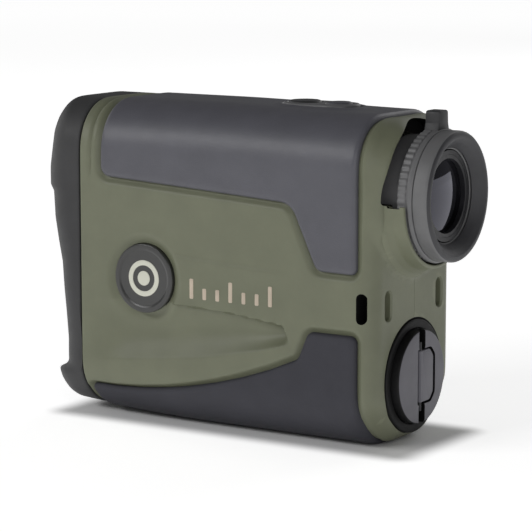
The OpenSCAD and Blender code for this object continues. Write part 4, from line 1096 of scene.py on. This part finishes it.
KEPT = {  # CAD nodes that keep their own mesh
    "housing_gasket": SEAL, "lens_plate": BLACK, "bezel_screws": BLACK_STEEL, "housing_screws": STEEL,
    "objective_cell": ANODISED, "objective_flint_lens": CLEAR, "objective_retainer": ANODISED,
    "receiver_cell": ANODISED, "receiver_retainer": ANODISED, "emitter_cell": ANODISED, "prism_holder": BLACK,
    "roof_prism": CLEAR, "half_prism": CLEAR, "display_frame": BLACK, "display_panel": CLEAR, "main_board": BOARD,
    "board_chips": CHIP, "laser_board": BOARD, "laser_diode": GOLD, "light_detector": NICKEL, "button_board": BOARD,
    "tact_switches": NICKEL, "flex_cables": FILM, "battery_sleeve": BLACK, "battery": WRAP, "positive_contact": GOLD,
    "eyepiece_barrel": ANODISED, "field_lens": CLEAR,
    "eye_lens_cell": ANODISED, "middle_lens": CLEAR, "lens_spacer": ANODISED, "eye_lens_retainer": ANODISED,
    "eyepiece_oring": SEAL, "cell_clip": STEEL, "cap_contact": GOLD, "cap_oring": SEAL, "tab_pin": BLACK_STEEL,
}


def dress_cad():
    for name, material in KEPT.items():
        mesh = frame["nodes"][name].data
        mesh.materials.clear()
        mesh.materials.append(material)


# ---- studio

def aim(obj, target):
    direction = Vector(target) - obj.location
    obj.rotation_mode = "QUATERNION"
    obj.rotation_quaternion = direction.to_track_quat("-Z", "Y")


def build_camera():
    azimuth, elevation, distance = math.radians(32.34), math.radians(8.82), 553.8 * MM
    target = Vector((0.97, 0, 36.58)) * MM
    back = Vector((math.sin(azimuth) * math.cos(elevation), -math.cos(azimuth) * math.cos(elevation),
                   math.sin(elevation)))
    data = bpy.data.cameras.new("camera")
    data.sensor_width = 36
    data.lens = 162.4
    data.clip_start, data.clip_end = 0.01, 20
    camera = bpy.data.objects.new("camera", data)
    camera.location = target + back * distance
    bpy.context.scene.collection.objects.link(camera)
    aim(camera, target)
    bpy.context.scene.camera = camera


def glow_floor(material):
    """Lets the floor glow a little as painted fill light, with no glow right under the object as a painted contact
    shadow, and more glow far away.
    """
    link = material.node_tree.links.new
    shader = material.node_tree.nodes["Principled BSDF"]
    shader.inputs["Emission Color"].default_value = (1, 1, 1, 1)
    last = add_node(material, "TexCoord").outputs["Object"]
    # the object's footprint, where the glow stops, is a painted contact shadow
    shadow_footprint = (HALF_W * 2.3 * MM, HALF_W * 0.75 * MM, 1)
    for operation, value in (("ABSOLUTE", None), ("SUBTRACT", shadow_footprint), ("MAXIMUM", (0, 0, 0)), ("LENGTH", None)):
        step = add_node(material, "VectorMath")
        step.operation = operation
        link(last, step.inputs[0])
        if value:
            step.inputs[1].default_value = value
        last = step.outputs["Value" if operation == "LENGTH" else "Vector"]
    strength = add_node(material, "Math")
    strength.operation = "MULTIPLY"
    for k, (near, far, low, high) in enumerate(((0, 0.008, 0, 1), (0.25, 2, 0.62, 0.84))):
        ramp = add_node(material, "MapRange", Value=last, From_Min=near, From_Max=far, To_Min=low, To_Max=high)
        ramp.interpolation_type = "SMOOTHSTEP"
        link(ramp.outputs["Result"], strength.inputs[k])
    link(strength.outputs["Value"], shader.inputs["Emission Strength"])


def build_studio():
    floor_material = surface("pale_floor", (250, 250, 250), 0.9, mottle=0.005)
    glow_floor(floor_material)
    size = 6.0
    mesh = bpy.data.meshes.new("floor")
    mesh.from_pydata([(-size, -size, 0), (size, -size, 0), (size, size, 0), (-size, size, 0)], [], [(0, 1, 2, 3)])
    mesh.materials.append(floor_material)
    floor = bpy.data.objects.new("floor", mesh)
    bpy.context.scene.collection.objects.link(floor)
    world = bpy.data.worlds.new("studio")
    world.use_nodes = True
    world.node_tree.nodes["Background"].inputs["Color"].default_value = (1, 1, 1, 1)
    world.node_tree.nodes["Background"].inputs["Strength"].default_value = 0.14
    bpy.context.scene.world = world
    lights = (("key", (-0.6, -0.93, 0.66), 0.8, 0.2, 5.2), ("side_fill", (0.8, -0.85, 0.42), 0.5, 0.5, 2.5),
              ("back_fill", (0.1, 1.1, 0.5), 0.7, 0.7, 2.4), ("front_fill", (-1.1, 0.1, 0.36), 0.6, 0.6, 1.7))
    for name, place, width, height, power in lights:
        data = bpy.data.lights.new(name, "AREA")
        data.shape = "RECTANGLE"
        data.size, data.size_y = width, height
        data.energy = power
        light = bpy.data.objects.new(name, data)
        light.location = place
        bpy.context.scene.collection.objects.link(light)
        aim(light, (0, 0, 0.037))
    bpy.context.scene.view_settings.view_transform = "Standard"


build_camera()
build_studio()
build_housing()
build_armour()
build_bezel()
build_eyepiece()
build_battery_end()
build_buttons()
build_springs()
build_badges()
build_range_marks()
build_front()
dress_cad()
